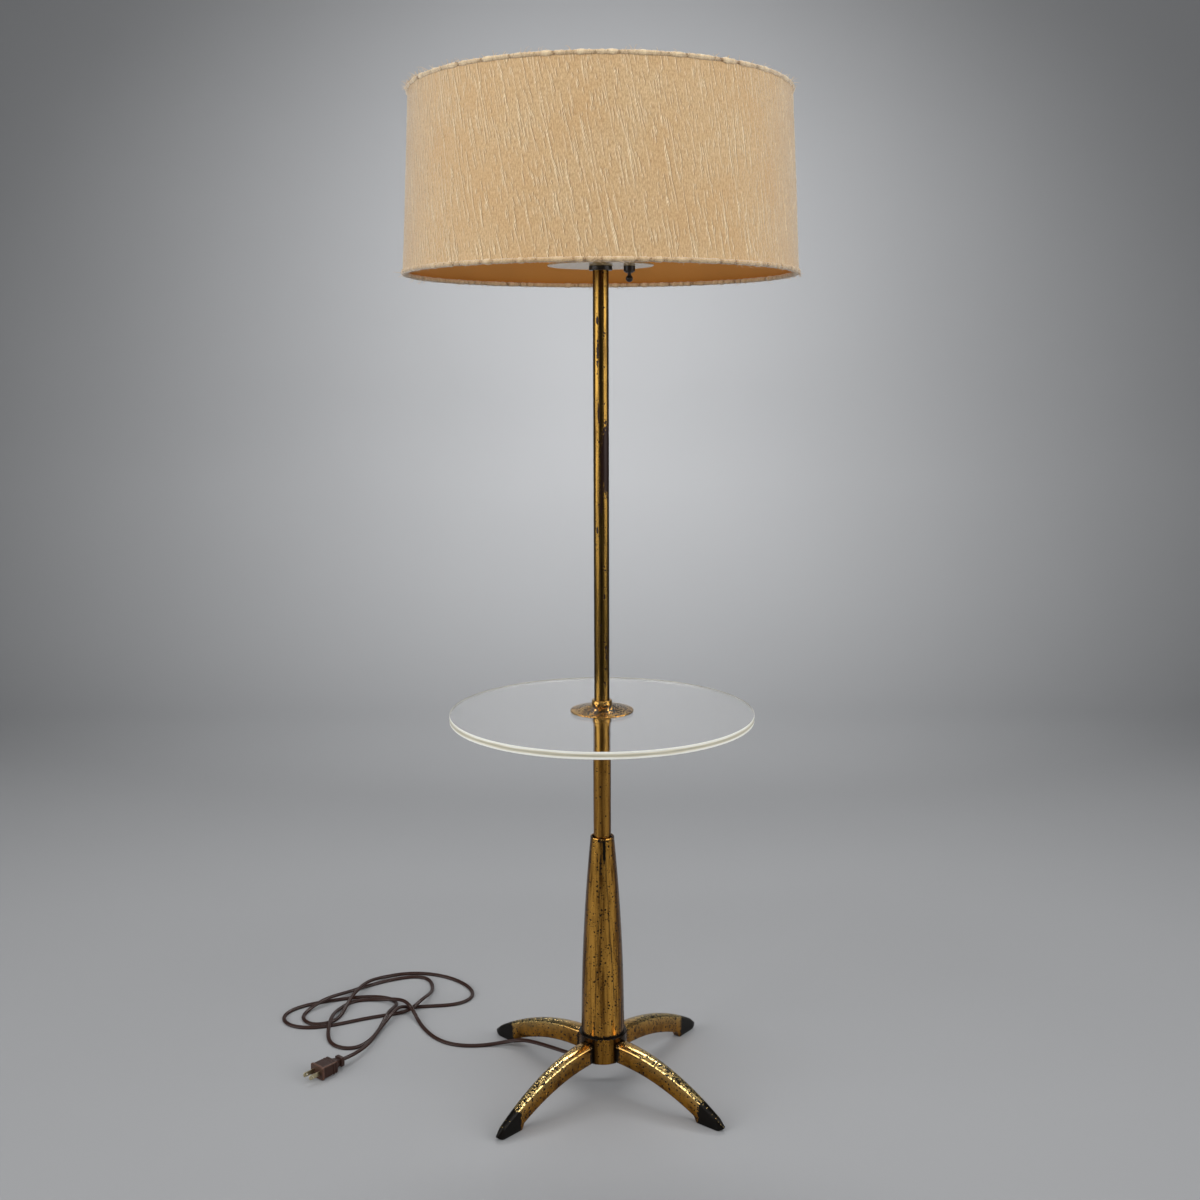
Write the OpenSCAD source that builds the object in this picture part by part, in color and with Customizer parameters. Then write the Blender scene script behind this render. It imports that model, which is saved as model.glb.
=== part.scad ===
// Floor lamp with a round clear table on its pole, a cloth drum shade and four arched feet.
// Origin: on the floor under the pole. +Z is up, and the front of the lamp faces -Y.

/* [Feet and hub] */
// Width of the drum's ledge round the column's foot
hub_ledge = 3.5; // [2:0.5:10]
// Height of the drum's lower edge over the floor
hub_z = 39; // [34:1:50]
// Height of the drum
hub_h = 37; // [32:1:44]
// Wall of the drum
hub_wall = 5.5; // [4:0.5:8]
// Thickness of the web that closes the drum's top
hub_web = 8; // [6:1:12]
// Reach of a foot from the pole's axis to its toe
foot_reach = 211; // [180:1:260]
// Width of a foot at the drum
foot_root_w = 23; // [14:0.5:26]
// Width of a foot near its toe
foot_toe_w = 10; // [8:0.5:17]
// How far a foot's top lies under the drum's upper edge
foot_drop = 7.5; // [0.5:0.5:12]
// Depth of the rounding along a foot's top edges
foot_crown = 5; // [2:0.5:7]
// Direction of the first foot, in degrees from +X
foot_turn = 49; // [30:1:60]
// Diameter of the screws that hold the feet
foot_screw_d = 6; // [5:0.5:8]

/* [Column] */
// Diameter of the column's foot
column_base_d = 60; // [52:1:66]
// Gap between the column's mouth and the lower tube
mouth_gap = 2.05; // [1:0.05:6]
// Height of the column
column_h = 283; // [200:1:360]
// Wall of the column
column_wall = 2.2; // [1.6:0.1:2.6]

/* [Pole and table] */
// Outer diameter of the lower tube
lower_tube_d = 24; // [22:0.5:25]
// Outer diameter of the upper tube
upper_tube_d = 20.6; // [18:0.2:22]
// Wall of both tubes
tube_wall = 1.3; // [1:0.1:2]
// Height of the table's upper face over the floor
table_h = 536.7; // [440:0.1:640]
// Diameter of the table
table_d = 410; // [300:5:500]
// Thickness of the table
table_t = 10; // [6:0.5:15]
// Diameter of the flange that clamps the table
flange_d = 85.5; // [70:0.5:110]
// Height of the flange with its collar
flange_h = 15.3; // [12:0.1:22]
// Height of the light plate's lower face over the floor
plate_h = 1122; // [950:1:1300]

/* [Threaded pipe] */
// Outer diameter of the threaded pipe
pipe_d = 9.6; // [9.4:0.1:10.2]
// Bore of the threaded pipe
pipe_bore = 6.4; // [6:0.1:7]

/* [Light plate and bulbs] */
// Diameter of the light plate
plate_d = 137; // [130:1:170]
// Thickness of the light plate
plate_t = 1.4; // [1:0.1:2.5]
// Diameter of the black cap between the pole and the light plate
cap_d = 30; // [26:1:40]
// Height of that cap
cap_h = 5.5; // [4:0.5:10]
// Distance of the lampholders from the pole's axis
holder_at = 40; // [38:1:46]
// Outer diameter of a lampholder
holder_d = 30; // [29:1:34]
// Height of a lampholder
holder_h = 42; // [36:1:50]
// Diameter of a bulb
bulb_d = 60; // [50:1:62]
// Distance of the switch from the pole's axis
switch_at = 36.8; // [34:0.1:40]

/* [Shade] */
// Outer diameter over the shade's lower trim
shade_bottom_d = 508; // [400:2:620]
// Outer diameter over the shade's upper trim
shade_top_d = 484; // [380:2:600]
// Height of the shade over both trims
shade_h = 226; // [212:1:300]
// Height of the shade's lower edge under the light plate
shade_drop = 13; // [5:1:40]
// Thickness of the shade's cloth
cloth_t = 0.8; // [0.5:0.1:1.5]
// Thickness of the lining
lining_t = 0.5; // [0.3:0.1:1]
// Height of the rolled trims
trim_h = 6; // [6:0.5:12]
// Diameter of the shade's wires
wire_d = 3.2; // [3:0.1:4]
// How far the spider's washer lies under the upper wire
spider_drop = 12; // [8:1:30]

/* [Cord and plug] */
// Width of the two-core cord
cord_w = 5.8; // [5:0.1:6]
// Thickness of the two-core cord
cord_t = 3.6; // [3:0.1:3.8]
// Length of the plug's body
plug_l = 29; // [24:1:34]
// Width of the plug's body
plug_w = 27; // [22:1:30]
// Height of the plug's body
plug_h = 20; // [16:1:20]
// Length of the plug's strain relief
relief_l = 16; // [12:1:24]

/* [Hidden] */
$fn = 128;

// Colours
brass = [0.69, 0.52, 0.25];
bright_brass = [0.80, 0.66, 0.36];
steel = [0.62, 0.62, 0.62];
black = [0.08, 0.08, 0.08];
enamel = [0.90, 0.89, 0.86];
clear = [0.85, 0.90, 0.90, 0.4];
cloth = [0.82, 0.69, 0.50];
lining = [0.66, 0.45, 0.25];
brown = [0.23, 0.13, 0.10];
glass = [0.97, 0.96, 0.92];

// Clearances
fit = 0.1;         // between pieces that seat in each other
run = 0.07;        // between a shaft and the bore that it turns in
layer = 0.05;      // between two layers of the shade
over = 1;          // how far a cutter runs past what it cuts

// Heights over the floor
hub_top = hub_z + hub_h;
web_z = hub_top - hub_web;
tube_z = web_z + hub_web / 2;
table_z = table_h - table_t;
table_seat = table_h - 0.3;   // a shallow seat in the table keeps the flange in place
flange_seat = table_h + 4.3;
flange_top = table_h + flange_h;
cap_z = plate_h - cap_h;
upper_tube_top = cap_z + 2;
plate_top = plate_h + plate_t;
shade_z = plate_h - shade_drop;
shade_top = shade_z + shade_h;

// Feet
hub_d = column_base_d + 2 * hub_ledge;
foot_root_h = hub_top - foot_drop;
foot_pad_r = foot_reach - 41;     // where the toe's heel stands on the floor
foot_heel = 4;                    // length of the slope from the arch to the heel
foot_arch_end = foot_reach - 30;  // where the arch would meet the floor
foot_flat_end = foot_reach - 10;
foot_arch_h = hub_z + 2.5;        // height of the arch at the drum
foot_turns = [foot_turn, foot_turn + 90, foot_turn + 180, foot_turn + 270];
foot_nose = 12;                   // length of the rounded toe
screw_z = hub_z + 16;
screw_l = 24;
screw_head_h = 4;
screw_head_d = 11;

// Column: its outline is one arc that stands upright on the drum
column_top_d = lower_tube_d + 2 * (mouth_gap + column_wall);
column_r = column_base_d / 2;
column_draw = (column_base_d - column_top_d) / 2;
column_arc = (column_h * column_h + column_draw * column_draw) / (2 * column_draw);
column_steps = 24;
spigot_h = 5;
lip_r = 1.3;
collar_h = 8;
collar_z = hub_top + column_h - 22;

// Threaded pipe and what clamps it
pipe_hole = pipe_d + 2 * fit;
nut_af = 14.3;
nut_h = 5.5;
washer_t = 1.5;
base_washer_z = web_z - washer_t;
base_nut_z = base_washer_z - nut_h;
pipe_end = base_nut_z - 3.5;
bushing_rim = 1.5;
bushing_z = pipe_end - bushing_rim;
lead_d = 4.6;
plug_disc_h = 8;

// Above the light plate
washer_z = plate_top;
plate_nut_z = washer_z + 1.2;
hickey_z = plate_nut_z + nut_h + 1;
boss_d = 14;
boss_h = 10;
hickey_gap = 17;
hickey_h = 2 * boss_h + hickey_gap;
window_z = hickey_z + boss_h + hickey_gap / 2;
pipe_top = hickey_z + boss_h - 2;
holder_turns = [60, 180, 300];
holder_wall = 2.3;
holder_floor = 7;
shell_t = 0.4;
shell_r = holder_d / 2 - holder_wall - fit;
rivet_d = 3;
rivet_at = 8;
small_lead = 2.4;

// Shade
trim_out = 2.2;            // how far a trim stands proud of the cloth
tape_t = 1;                // thickness of the folded tape
cover_z = shade_z + tape_t;
cover_top = shade_top - tape_t;
wire_r = wire_d / 2;
ring_z = cover_z + wire_r + fit;
top_ring_z = cover_top - wire_r - fit;
washer_top = top_ring_z - spider_drop;
spider_washer_t = 2;
stud_seat = washer_top - spider_washer_t;
stud_d = 6.3;
stud_h = 18;
stud_body_d = 13;
stud_body_h = 18;
seat_gap = 0.1;
finial_z = washer_top + seat_gap;
finial_h = 24;
arm_turns = [90, 210, 330];
arm_d = 2.8;

// Switch
bushing_d = 10.2;
bushing_end = plate_h - 8.5;
switch_nut_h = 7.4;
switch_nut_d = 14.8;
shaft_d = 4;
ball_d = 9.2;
ball_z = plate_h - 15.7;
body_l = 24;
body_w = 20;
body_h = 22;

// Plug: its front face, its direction and its blades
plug_at = [-406, 4, plug_h / 2];
plug_turn = 230;
blade_gap = 12.7;
blade_w = 6.3;
blade_t = 1.5;
blade_out = 18;
blade_in = 9;
plug_dir = [cos(plug_turn), sin(plug_turn), 0];
plug_end = plug_at - (plug_l + relief_l) * plug_dir;

// Cord: x, y and the height of its underside over the floor. It leaves the pipe, passes
// under the drum beside the back left foot, and lies in loose loops on the floor.
cord_lift = plug_h / 2 - 2.1;
cord_points = [[0, 0, bushing_z], [0, 0, 52.5], [0, 0, 49], [-3, 2, 36], [-11, 7, 27],
    [-31, 19, 22.5], [-62, 40, 21.5], [-95, 68, 17.5], [-123, 90, 11.5], [-153, 99, 2], [-195, 94, 0],
    [-235, 105, 0], [-265, 138, 0], [-284, 175, 0.5], [-300, 204, 9.8], [-319, 228, 9],
    [-350, 244, 1.5], [-390, 244, 0], [-413, 215, 0], [-417, 169, 7.8], [-413, 124, 0.5],
    [-396, 95, 0], [-367, 89, 0], [-347, 118, 0], [-339, 158, 0], [-332, 195, 7.2],
    [-325, 228, 0.5], [-342, 253, 0], [-385, 257, 0], [-430, 244, 0], [-473, 225, 0],
    [-495, 193, 0], [-475, 159, 0], [-430, 155, 0], [-380, 177, 0], [-338, 194, 0],
    [-303, 206, 1.8], [-286, 230, 9.8], [-275, 280, 0], [-290, 326, 0], [-331, 326, 0],
    [-381, 298, 0], [-412, 266, 3], [-437, 237, 7.5], [-459, 213, 1], [-464, 187, 0],
    [-445, 164, 0], [-417, 173, 0], [-406, 200, 0.8], [-399, 240, 7.8], [-384, 290, 8.8],
    [-364, 325, 1], [-325, 343, 0], [-275, 338, 0], [-231, 309, 0], [-208, 268, 0],
    [-225, 234, 0], [-265, 225, 0], [-302, 219, 0], [-318, 200, 10.4], [-331, 165, 6.2],
    [-337, 143, 5.3], [-342, 118, 5.3], [-346, 97, 5.4], [-354, 73, 6.3],
    [plug_end.x - 17 * plug_dir.x, plug_end.y - 17 * plug_dir.y, cord_lift - 0.3],
    [plug_end.x - 8 * plug_dir.x, plug_end.y - 8 * plug_dir.y, cord_lift],
    [plug_end.x, plug_end.y, cord_lift]];
cord_sides = 8;
cord_steps = 2;                 // rings for each point
cord_lean = [0, -0.6, 0.8];     // the way that the cord's flat side faces

// ---- small helpers ----

module tube(od, wall, z0, z1) {
    translate([0, 0, z0])
        difference() {
            cylinder(d = od, h = z1 - z0);
            translate([0, 0, -over]) cylinder(d = od - 2 * wall, h = z1 - z0 + 2 * over);
        }
}

module ring(od, id, z, h) {
    tube(od, (od - id) / 2, z, z + h);
}

module hex_nut(af, bore, z, h) {
    translate([0, 0, z])
        difference() {
            cylinder(d = af / cos(30), h = h, $fn = 6);
            translate([0, 0, -over]) cylinder(d = bore, h = h + 2 * over);
        }
}

// A round rod between two points
module rod(p, q, d) {
    v = q - p;
    translate(p)
        rotate([0, acos(v.z / norm(v)), atan2(v.y, v.x)])
            cylinder(d = d, h = norm(v), $fn = 32);
}

// A rectangle with round corners, centred
module round_rect(w, h, r) {
    square([w - 2 * r, h], center = true);
    square([w, h - 2 * r], center = true);
    for (x = [-1, 1], y = [-1, 1])
        translate([x * (w / 2 - r), y * (h / 2 - r)]) circle(r = r, $fn = 32);
}

// ---- feet and hub ----

function foot_top(r) = foot_root_h * (1 - pow(max(0, r - hub_d / 2) / (foot_reach - 18), 2));

function foot_arch(r) =
    foot_arch_h * (1 - pow((r - hub_d / 2) / (foot_arch_end - hub_d / 2), 2));

function foot_bottom(r) = r > foot_flat_end ? 5 * pow((r - foot_flat_end) / 10, 2)
    : r > foot_pad_r - foot_heel ? foot_arch(r) * max(0, foot_pad_r - r) / foot_heel
    : foot_arch(r);

function foot_half(r) =
    let (plain = (foot_root_w + (foot_toe_w - foot_root_w)
            * min(1, max(0, r - 45) / (foot_reach - 57))) / 2)
    r > foot_reach - foot_nose
        ? plain * sqrt(1 - pow((r - foot_reach + foot_nose) / (foot_nose + 1), 2))
        : plain;

// One cross-section of a foot: flat below and at the sides, crowned on top
function foot_section(r) =
    let (w = foot_half(r), b = foot_bottom(r), t = foot_top(r) - max(0, r - foot_flat_end) / 4,
        c = min(foot_crown, 0.6 * (t - b)), e = min(1, w / 4))
    [[r, -w + e, b], [r, w - e, b], [r, w, b + e], [r, w, t - c], [r, 0.86 * w, t - 0.5 * c],
        [r, 0.55 * w, t - 0.14 * c], [r, 0, t], [r, -0.55 * w, t - 0.14 * c],
        [r, -0.86 * w, t - 0.5 * c], [r, -w, t - c], [r, -w, b + e]];

// Triangles of a skin over rings of n points, closed by a fan at each end
function skin_faces(rings, n) = concat(
    [for (i = [0:rings - 2]) for (k = [0:n - 1])
        [i * n + k, i * n + (k + 1) % n, (i + 1) * n + k]],
    [for (i = [0:rings - 2]) for (k = [0:n - 1])
        [i * n + (k + 1) % n, (i + 1) * n + (k + 1) % n, (i + 1) * n + k]],
    [for (k = [1:n - 2]) [0, k + 1, k]],
    [for (k = [1:n - 2]) [(rings - 1) * n, (rings - 1) * n + k, (rings - 1) * n + k + 1]]);

module foot(turn) {
    heel = foot_pad_r - foot_heel;
    root = hub_d / 2 - 5;
    stations = concat([for (s = [0:12]) root + s * (heel - root) / 12],
        [foot_pad_r, foot_pad_r + 12, foot_pad_r + 22],
        [foot_reach - foot_nose, foot_reach - 8, foot_reach - 4, foot_reach - 1, foot_reach]);
    points = [for (r = stations) each foot_section(r)];
    rotate([0, 0, turn])
        difference() {
            polyhedron(points, skin_faces(len(stations), 11));
            cylinder(d = hub_d / cos(180 / $fn), h = hub_top + over);
            translate([0, 0, screw_z])
                rotate([0, 90, 0]) cylinder(d = foot_screw_d, h = hub_d / 2 + screw_l - 4);
        }
}

module leg_back_right() {
    color(brass) foot(foot_turns[0]);
}

module leg_back_left() {
    color(brass) foot(foot_turns[1]);
}

module leg_front_left() {
    color(brass) foot(foot_turns[2]);
}

module leg_front_right() {
    color(brass) foot(foot_turns[3]);
}

module hub() {
    r = hub_d / 2;
    inner = r - hub_wall;
    bevel = 0.8;
    color(brass)
        difference() {
            rotate_extrude()
                polygon([[pipe_hole / 2, web_z], [inner, web_z], [inner, hub_z], [r - bevel, hub_z],
                    [r, hub_z + bevel], [r, hub_top - bevel], [r - bevel, hub_top],
                    [column_r - column_wall - fit, hub_top],
                    [column_r - column_wall - fit, hub_top + spigot_h],
                    [lower_tube_d / 2 + fit, hub_top + spigot_h],
                    [lower_tube_d / 2 + fit, tube_z], [pipe_hole / 2, tube_z]]);
            for (turn = foot_turns)
                rotate([0, 0, turn]) translate([0, 0, screw_z])
                    rotate([0, 90, 0]) cylinder(d = foot_screw_d + 0.6, h = hub_d);
        }
}

// The other leg of a right triangle with hypotenuse c and leg a
function norm_leg(c, a) = sqrt(c * c - a * a);

module leg_screws() {
    head_r = norm_leg(hub_d / 2 - hub_wall, screw_head_d / 2) - screw_head_h;
    color(steel)
        for (turn = foot_turns)
            rotate([0, 0, turn]) translate([head_r, 0, screw_z]) rotate([0, 90, 0]) {
                cylinder(d = screw_head_d, h = screw_head_h, $fn = 6);
                cylinder(d = foot_screw_d - 2 * run, h = screw_head_h + screw_l);
            }
}

// ---- column ----

function column_out(z) =
    column_r - column_arc + sqrt(column_arc * column_arc - (z - hub_top) * (z - hub_top));

function column_side(inset, z0, z1) = [for (i = [0:column_steps])
    let (z = z0 + (z1 - z0) * i / column_steps) [column_out(z) - inset, z]];

module column() {
    mouth = hub_top + column_h;
    side = column_side(column_wall, hub_top, mouth);
    color(brass)
        rotate_extrude() {
            polygon(concat(column_side(0, hub_top, mouth),
                [for (i = [column_steps:-1:0]) side[i]]));
            translate([column_top_d / 2 - column_wall / 2, mouth]) circle(r = lip_r, $fn = 32);
        }
}

module column_collar() {
    inner = lower_tube_d / 2 + fit;
    top = collar_z + collar_h;
    color(bright_brass)
        rotate_extrude()
            polygon([[inner, collar_z], [column_out(collar_z) - column_wall - fit, collar_z],
                [column_out(top) - column_wall - fit, top], [inner, top]]);
}

// ---- pole and table ----

module lower_tube() {
    color(brass) tube(lower_tube_d, tube_wall, tube_z, table_z);
}

module lower_plug() {
    color(bright_brass)
        ring(lower_tube_d - 2 * tube_wall - 2 * fit, pipe_hole, table_z - plug_disc_h, plug_disc_h);
}

module table_top() {
    bevel = 0.6;
    r = table_d / 2;
    color(clear)
        rotate_extrude()
            polygon([[pipe_hole / 2, table_z], [r - bevel, table_z], [r, table_z + bevel],
                [r, table_h - bevel], [r - bevel, table_h], [flange_d / 2 + fit, table_h],
                [flange_d / 2 + fit, table_seat], [pipe_hole / 2, table_seat]]);
}

// The flange is spun: a rolled rim, a hollow dish and a short collar that holds the upper tube
module table_flange() {
    r = flange_d / 2;
    collar_r = upper_tube_d / 2 + 3.45;
    rim_r = 0.9;
    dish_z = table_h + 1.6;
    dish_top = table_h + 8.5;
    steps = 8;
    wall = 1.8;
    dish = [for (i = [0:steps]) let (u = i / steps)
        [r - 1 - u * (r - 1 - collar_r), dish_z + (dish_top - dish_z) * pow(u, 1.35)]];
    hollow = [for (i = [steps - 1:-1:1]) [dish[i].x + 0.6, dish[i].y - wall]];
    color(brass)
        rotate_extrude() {
            polygon(concat([[pipe_hole / 2, table_seat], [collar_r - 0.6, table_seat],
                [collar_r - 0.6, dish_top - wall - 1]], hollow,
                [[r - 4, table_seat], [r - rim_r, table_seat]],
                dish, [[collar_r, flange_top - 1.2], [collar_r - 0.9, flange_top],
                [upper_tube_d / 2 + fit, flange_top], [upper_tube_d / 2 + fit, flange_seat],
                [pipe_hole / 2, flange_seat]]));
            translate([r - rim_r, table_seat + rim_r]) circle(r = rim_r, $fn = 32);
        }
}

module upper_tube() {
    color(brass) tube(upper_tube_d, tube_wall, flange_seat, upper_tube_top);
}

module upper_plug() {
    color(bright_brass)
        ring(upper_tube_d - 2 * tube_wall - 2 * fit, pipe_hole, upper_tube_top - plug_disc_h,
            plug_disc_h);
}

module pole_cap() {
    seat_r = upper_tube_d / 2 + fit;
    bevel = 0.4;
    r = cap_d / 2;
    color(black)
        rotate_extrude()
            polygon([[seat_r, cap_z], [r - bevel, cap_z], [r, cap_z + bevel], [r, plate_h - bevel],
                [r - bevel, plate_h], [pipe_hole / 2, plate_h], [pipe_hole / 2, upper_tube_top],
                [seat_r, upper_tube_top]]);
}

// ---- threaded pipe ----

module centre_pipe() {
    color(steel) tube(pipe_d, (pipe_d - pipe_bore) / 2, pipe_end, pipe_top);
}

module base_washer() {
    color(steel) ring(24, pipe_hole, base_washer_z, washer_t);
}

module base_nut() {
    color(steel) hex_nut(nut_af, pipe_hole, base_nut_z, nut_h);
}

module pipe_bushing() {
    color(black) {
        ring(13, lead_d + 6 * fit, bushing_z, bushing_rim);
        ring(pipe_bore - 2 * fit, lead_d + 6 * fit, bushing_z, bushing_rim + 8);
    }
}

module inner_lead() {
    color(brown) translate([0, 0, bushing_z]) cylinder(d = lead_d, h = window_z - bushing_z);
}

// ---- light plate and what stands on it ----

module light_plate() {
    bead = 1;
    color(enamel)
        difference() {
            union() {
                translate([0, 0, plate_h]) cylinder(d = plate_d - 2 * bead, h = plate_t);
                rotate_extrude()
                    translate([plate_d / 2 - bead, plate_h + bead]) circle(r = bead, $fn = 32);
            }
            translate([0, 0, plate_h - over]) cylinder(d = pipe_hole, h = plate_t + 2 * over);
            translate([switch_at, 0, plate_h - over])
                cylinder(d = bushing_d + 2 * fit, h = plate_t + 2 * over);
            rivet_places() translate([0, 0, plate_h - over])
                cylinder(d = rivet_d + 2 * fit, h = plate_t + 2 * over, $fn = 32);
        }
}

module plate_washer() {
    color(steel) ring(22, pipe_hole, washer_z, 1.2);
}

module plate_nut() {
    color(steel) hex_nut(nut_af, pipe_hole, plate_nut_z, nut_h);
}

// An open coupling: the wires leave the pipe between its two cheeks
module hickey() {
    cheek = 3;
    color(steel)
        difference() {
            union() {
                translate([0, 0, hickey_z]) cylinder(d = boss_d, h = boss_h);
                translate([0, 0, hickey_z + boss_h + hickey_gap]) cylinder(d = boss_d, h = boss_h);
                for (side = [-1, 1])
                    translate([-3, side * (boss_d / 2 - cheek / 2) - cheek / 2, hickey_z + 1])
                        cube([6, cheek, hickey_h - 2]);
            }
            translate([0, 0, hickey_z - over]) cylinder(d = pipe_hole, h = hickey_h + 2 * over);
        }
}

module riser_pipe() {
    color(steel)
        tube(pipe_d, (pipe_d - pipe_bore) / 2, hickey_z + boss_h + hickey_gap + 1, stud_seat - 10);
}

module shade_stud() {
    color(bright_brass)
        difference() {
            union() {
                translate([0, 0, stud_seat - stud_body_h])
                    cylinder(d = stud_body_d, h = stud_body_h);
                translate([0, 0, stud_seat - over]) cylinder(d = stud_d, h = stud_h + over);
            }
            translate([0, 0, stud_seat - stud_body_h - over]) cylinder(d = pipe_hole, h = 9 + over);
        }
}

module holder_places() {
    for (turn = holder_turns)
        rotate([0, 0, turn]) translate([holder_at, 0, 0]) children();
}

module rivet_places() {
    holder_places() for (side = [-1, 1]) translate([0, side * rivet_at, 0]) children();
}

module lampholder(turn) {
    color(black)
        rotate([0, 0, turn]) translate([holder_at, 0, 0])
            difference() {
                translate([0, 0, plate_top]) cylinder(d = holder_d, h = holder_h);
                translate([0, 0, plate_top + holder_floor])
                    cylinder(d = holder_d - 2 * holder_wall, h = holder_h);
                for (side = [-1, 1])
                    translate([0, side * rivet_at, plate_top - over])
                        cylinder(d = rivet_d + 2 * fit, h = holder_floor + 2 * over, $fn = 32);
            }
}

module lampholder_1() {
    lampholder(holder_turns[0]);
}

module lampholder_2() {
    lampholder(holder_turns[1]);
}

module lampholder_3() {
    lampholder(holder_turns[2]);
}

module screw_shells() {
    color(bright_brass)
        holder_places()
            ring(2 * shell_r, 2 * (shell_r - shell_t), plate_top + holder_floor + 3,
                holder_h - holder_floor - 4);
}

module bulb(turn) {
    cap_r = shell_r - shell_t - fit;
    cap_base = plate_top + holder_floor + 4;
    cap_top = plate_top + holder_h + 1;
    ball = cap_top + 50;
    color(glass)
        rotate([0, 0, turn]) translate([holder_at, 0, 0]) {
            translate([0, 0, cap_base]) cylinder(r = cap_r, h = cap_top - cap_base);
            translate([0, 0, cap_top - over])
                cylinder(r1 = cap_r, r2 = bulb_d * 0.4, h = 50 - bulb_d * 0.3 + over);
            translate([0, 0, ball]) sphere(d = bulb_d);
        }
}

module bulb_1() {
    bulb(holder_turns[0]);
}

module bulb_2() {
    bulb(holder_turns[1]);
}

module bulb_3() {
    bulb(holder_turns[2]);
}

module holder_rivets() {
    color(bright_brass)
        rivet_places() {
            translate([0, 0, plate_h]) cylinder(d = rivet_d, h = plate_t + holder_floor, $fn = 32);
            translate([0, 0, plate_top + holder_floor]) cylinder(d = 2 * rivet_d, h = 1, $fn = 32);
        }
}

// Each lead runs straight from the coupling's window to the side of what it feeds
module socket_leads() {
    z = window_z - 3.5;
    reach = holder_d / 2 + 0.15;
    color(brown)
        for (i = [0:2]) {
            turn = holder_turns[i];
            from = i == 1 ? [-lead_d / 2 - 0.3, 0, z] : [lead_d / 2 + 1.1, i == 0 ? 1.4 : -1.4, z];
            to = [holder_at * cos(turn), holder_at * sin(turn), z];
            rod(from, to + (from - to) / norm(from - to) * reach, small_lead);
        }
}

module switch_lead() {
    color(brown)
        rod([lead_d / 2 + 0.9, 0, window_z],
            [switch_at - body_l / 2 - 0.6, 0, plate_top + body_h - 4], small_lead);
}

// ---- switch ----

module at_switch() {
    translate([switch_at, 0, 0]) children();
}

module switch_body() {
    color(black)
        at_switch() difference() {
            union() {
                translate([-body_l / 2, -body_w / 2, plate_top]) cube([body_l, body_w, body_h]);
                translate([0, 0, bushing_end])
                    cylinder(d = bushing_d, h = plate_top - bushing_end + over);
            }
            translate([0, 0, bushing_end - over]) cylinder(d = shaft_d + 2 * run, h = 22 + over);
        }
}

module switch_nut() {
    r = switch_nut_d / 2;
    bevel = 1.2;
    low = plate_h - switch_nut_h;
    color(black)
        at_switch() rotate_extrude()
            polygon([[bushing_d / 2 + fit, low], [r - bevel, low], [r, low + bevel], [r, plate_h],
                [bushing_d / 2 + fit, plate_h]]);
}

module switch_knob() {
    color(black)
        at_switch() {
            translate([0, 0, ball_z]) sphere(d = ball_d);
            translate([0, 0, ball_z]) cylinder(d = shaft_d + 0.6, h = bushing_end - ball_z - 0.3);
            translate([0, 0, ball_z]) cylinder(d = shaft_d, h = bushing_end + 20 - ball_z);
        }
}

// ---- shade ----

// Outer radius of the cloth at a height
function shade_r(z) = shade_bottom_d / 2 - trim_out
    + (shade_top_d - shade_bottom_d) / 2 * (z - shade_z) / shade_h;

// A conical layer of the shade, at a depth under the cloth's outside
module shade_layer(depth, t, z0, z1) {
    polygon([[shade_r(z0) - depth, z0], [shade_r(z1) - depth, z1],
        [shade_r(z1) - depth - t, z1], [shade_r(z0) - depth - t, z0]]);
}

function wire_at(z) = shade_r(z) - cloth_t - layer - lining_t - fit - wire_r - 0.1;

module shade_cover() {
    color(cloth) rotate_extrude() shade_layer(0, cloth_t, cover_z, cover_top);
}

module shade_lining() {
    color(lining) rotate_extrude() shade_layer(cloth_t + layer, lining_t, cover_z, cover_top);
}

module bottom_ring() {
    color(steel) rotate_extrude() translate([wire_at(ring_z), ring_z]) circle(d = wire_d, $fn = 32);
}

module spider_arms(d) {
    for (turn = arm_turns)
        rotate([0, 0, turn])
            rod([stud_body_d / 2 + 2, 0, stud_seat - arm_d / 2 + 0.8],
                [wire_at(top_ring_z), 0, top_ring_z], d);
}

module shade_spider() {
    color(steel) {
        rotate_extrude() translate([wire_at(top_ring_z), top_ring_z]) circle(d = wire_d, $fn = 32);
        spider_arms(arm_d);
        ring(26, stud_d + 0.9, stud_seat, spider_washer_t);
    }
}

// A folded tape round the shade's edge: the fold is round, and it holds the cloth and a wire
module trim_profile(edge, fold) {
    z = fold > 0 ? ring_z : top_ring_z;
    pocket = wire_at(z) - wire_r - fit;
    inner = pocket - tape_t;
    outer = shade_r(edge + fold * trim_h / 2) + trim_out;
    corner = 2.4;
    seat = edge + fold * (tape_t - fit);
    open = edge + fold * trim_h;
    arc = [for (a = [0:15:90]) corner * [1 - sin(a), 1 - cos(a)]];
    polygon(concat([[shade_r(open) + fit, open], [outer, open]],
        [for (i = [6:-1:0]) [outer - arc[i].x, edge + fold * arc[i].y]],
        [for (c = arc) [inner + c.x, edge + fold * c.y]],
        [[inner, open], [pocket, open], [pocket, seat], [shade_r(seat) + fit, seat]]));
}

module bottom_trim() {
    color(cloth) rotate_extrude() trim_profile(shade_z, 1);
}

module top_trim() {
    color(cloth)
        difference() {
            rotate_extrude() trim_profile(shade_top, -1);
            spider_arms(arm_d + 4 * fit);
        }
}

module finial() {
    color(brass)
        translate([0, 0, finial_z])
            difference() {
                union() {
                    cylinder(d = 12, h = 3);
                    cylinder(d = 8.6, h = 9);
                    translate([0, 0, finial_h - 9]) sphere(d = 18);
                }
                translate([0, 0, -over]) cylinder(d = stud_d + 2 * run, h = stud_h + over);
            }
}

// ---- cord and plug ----

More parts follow.
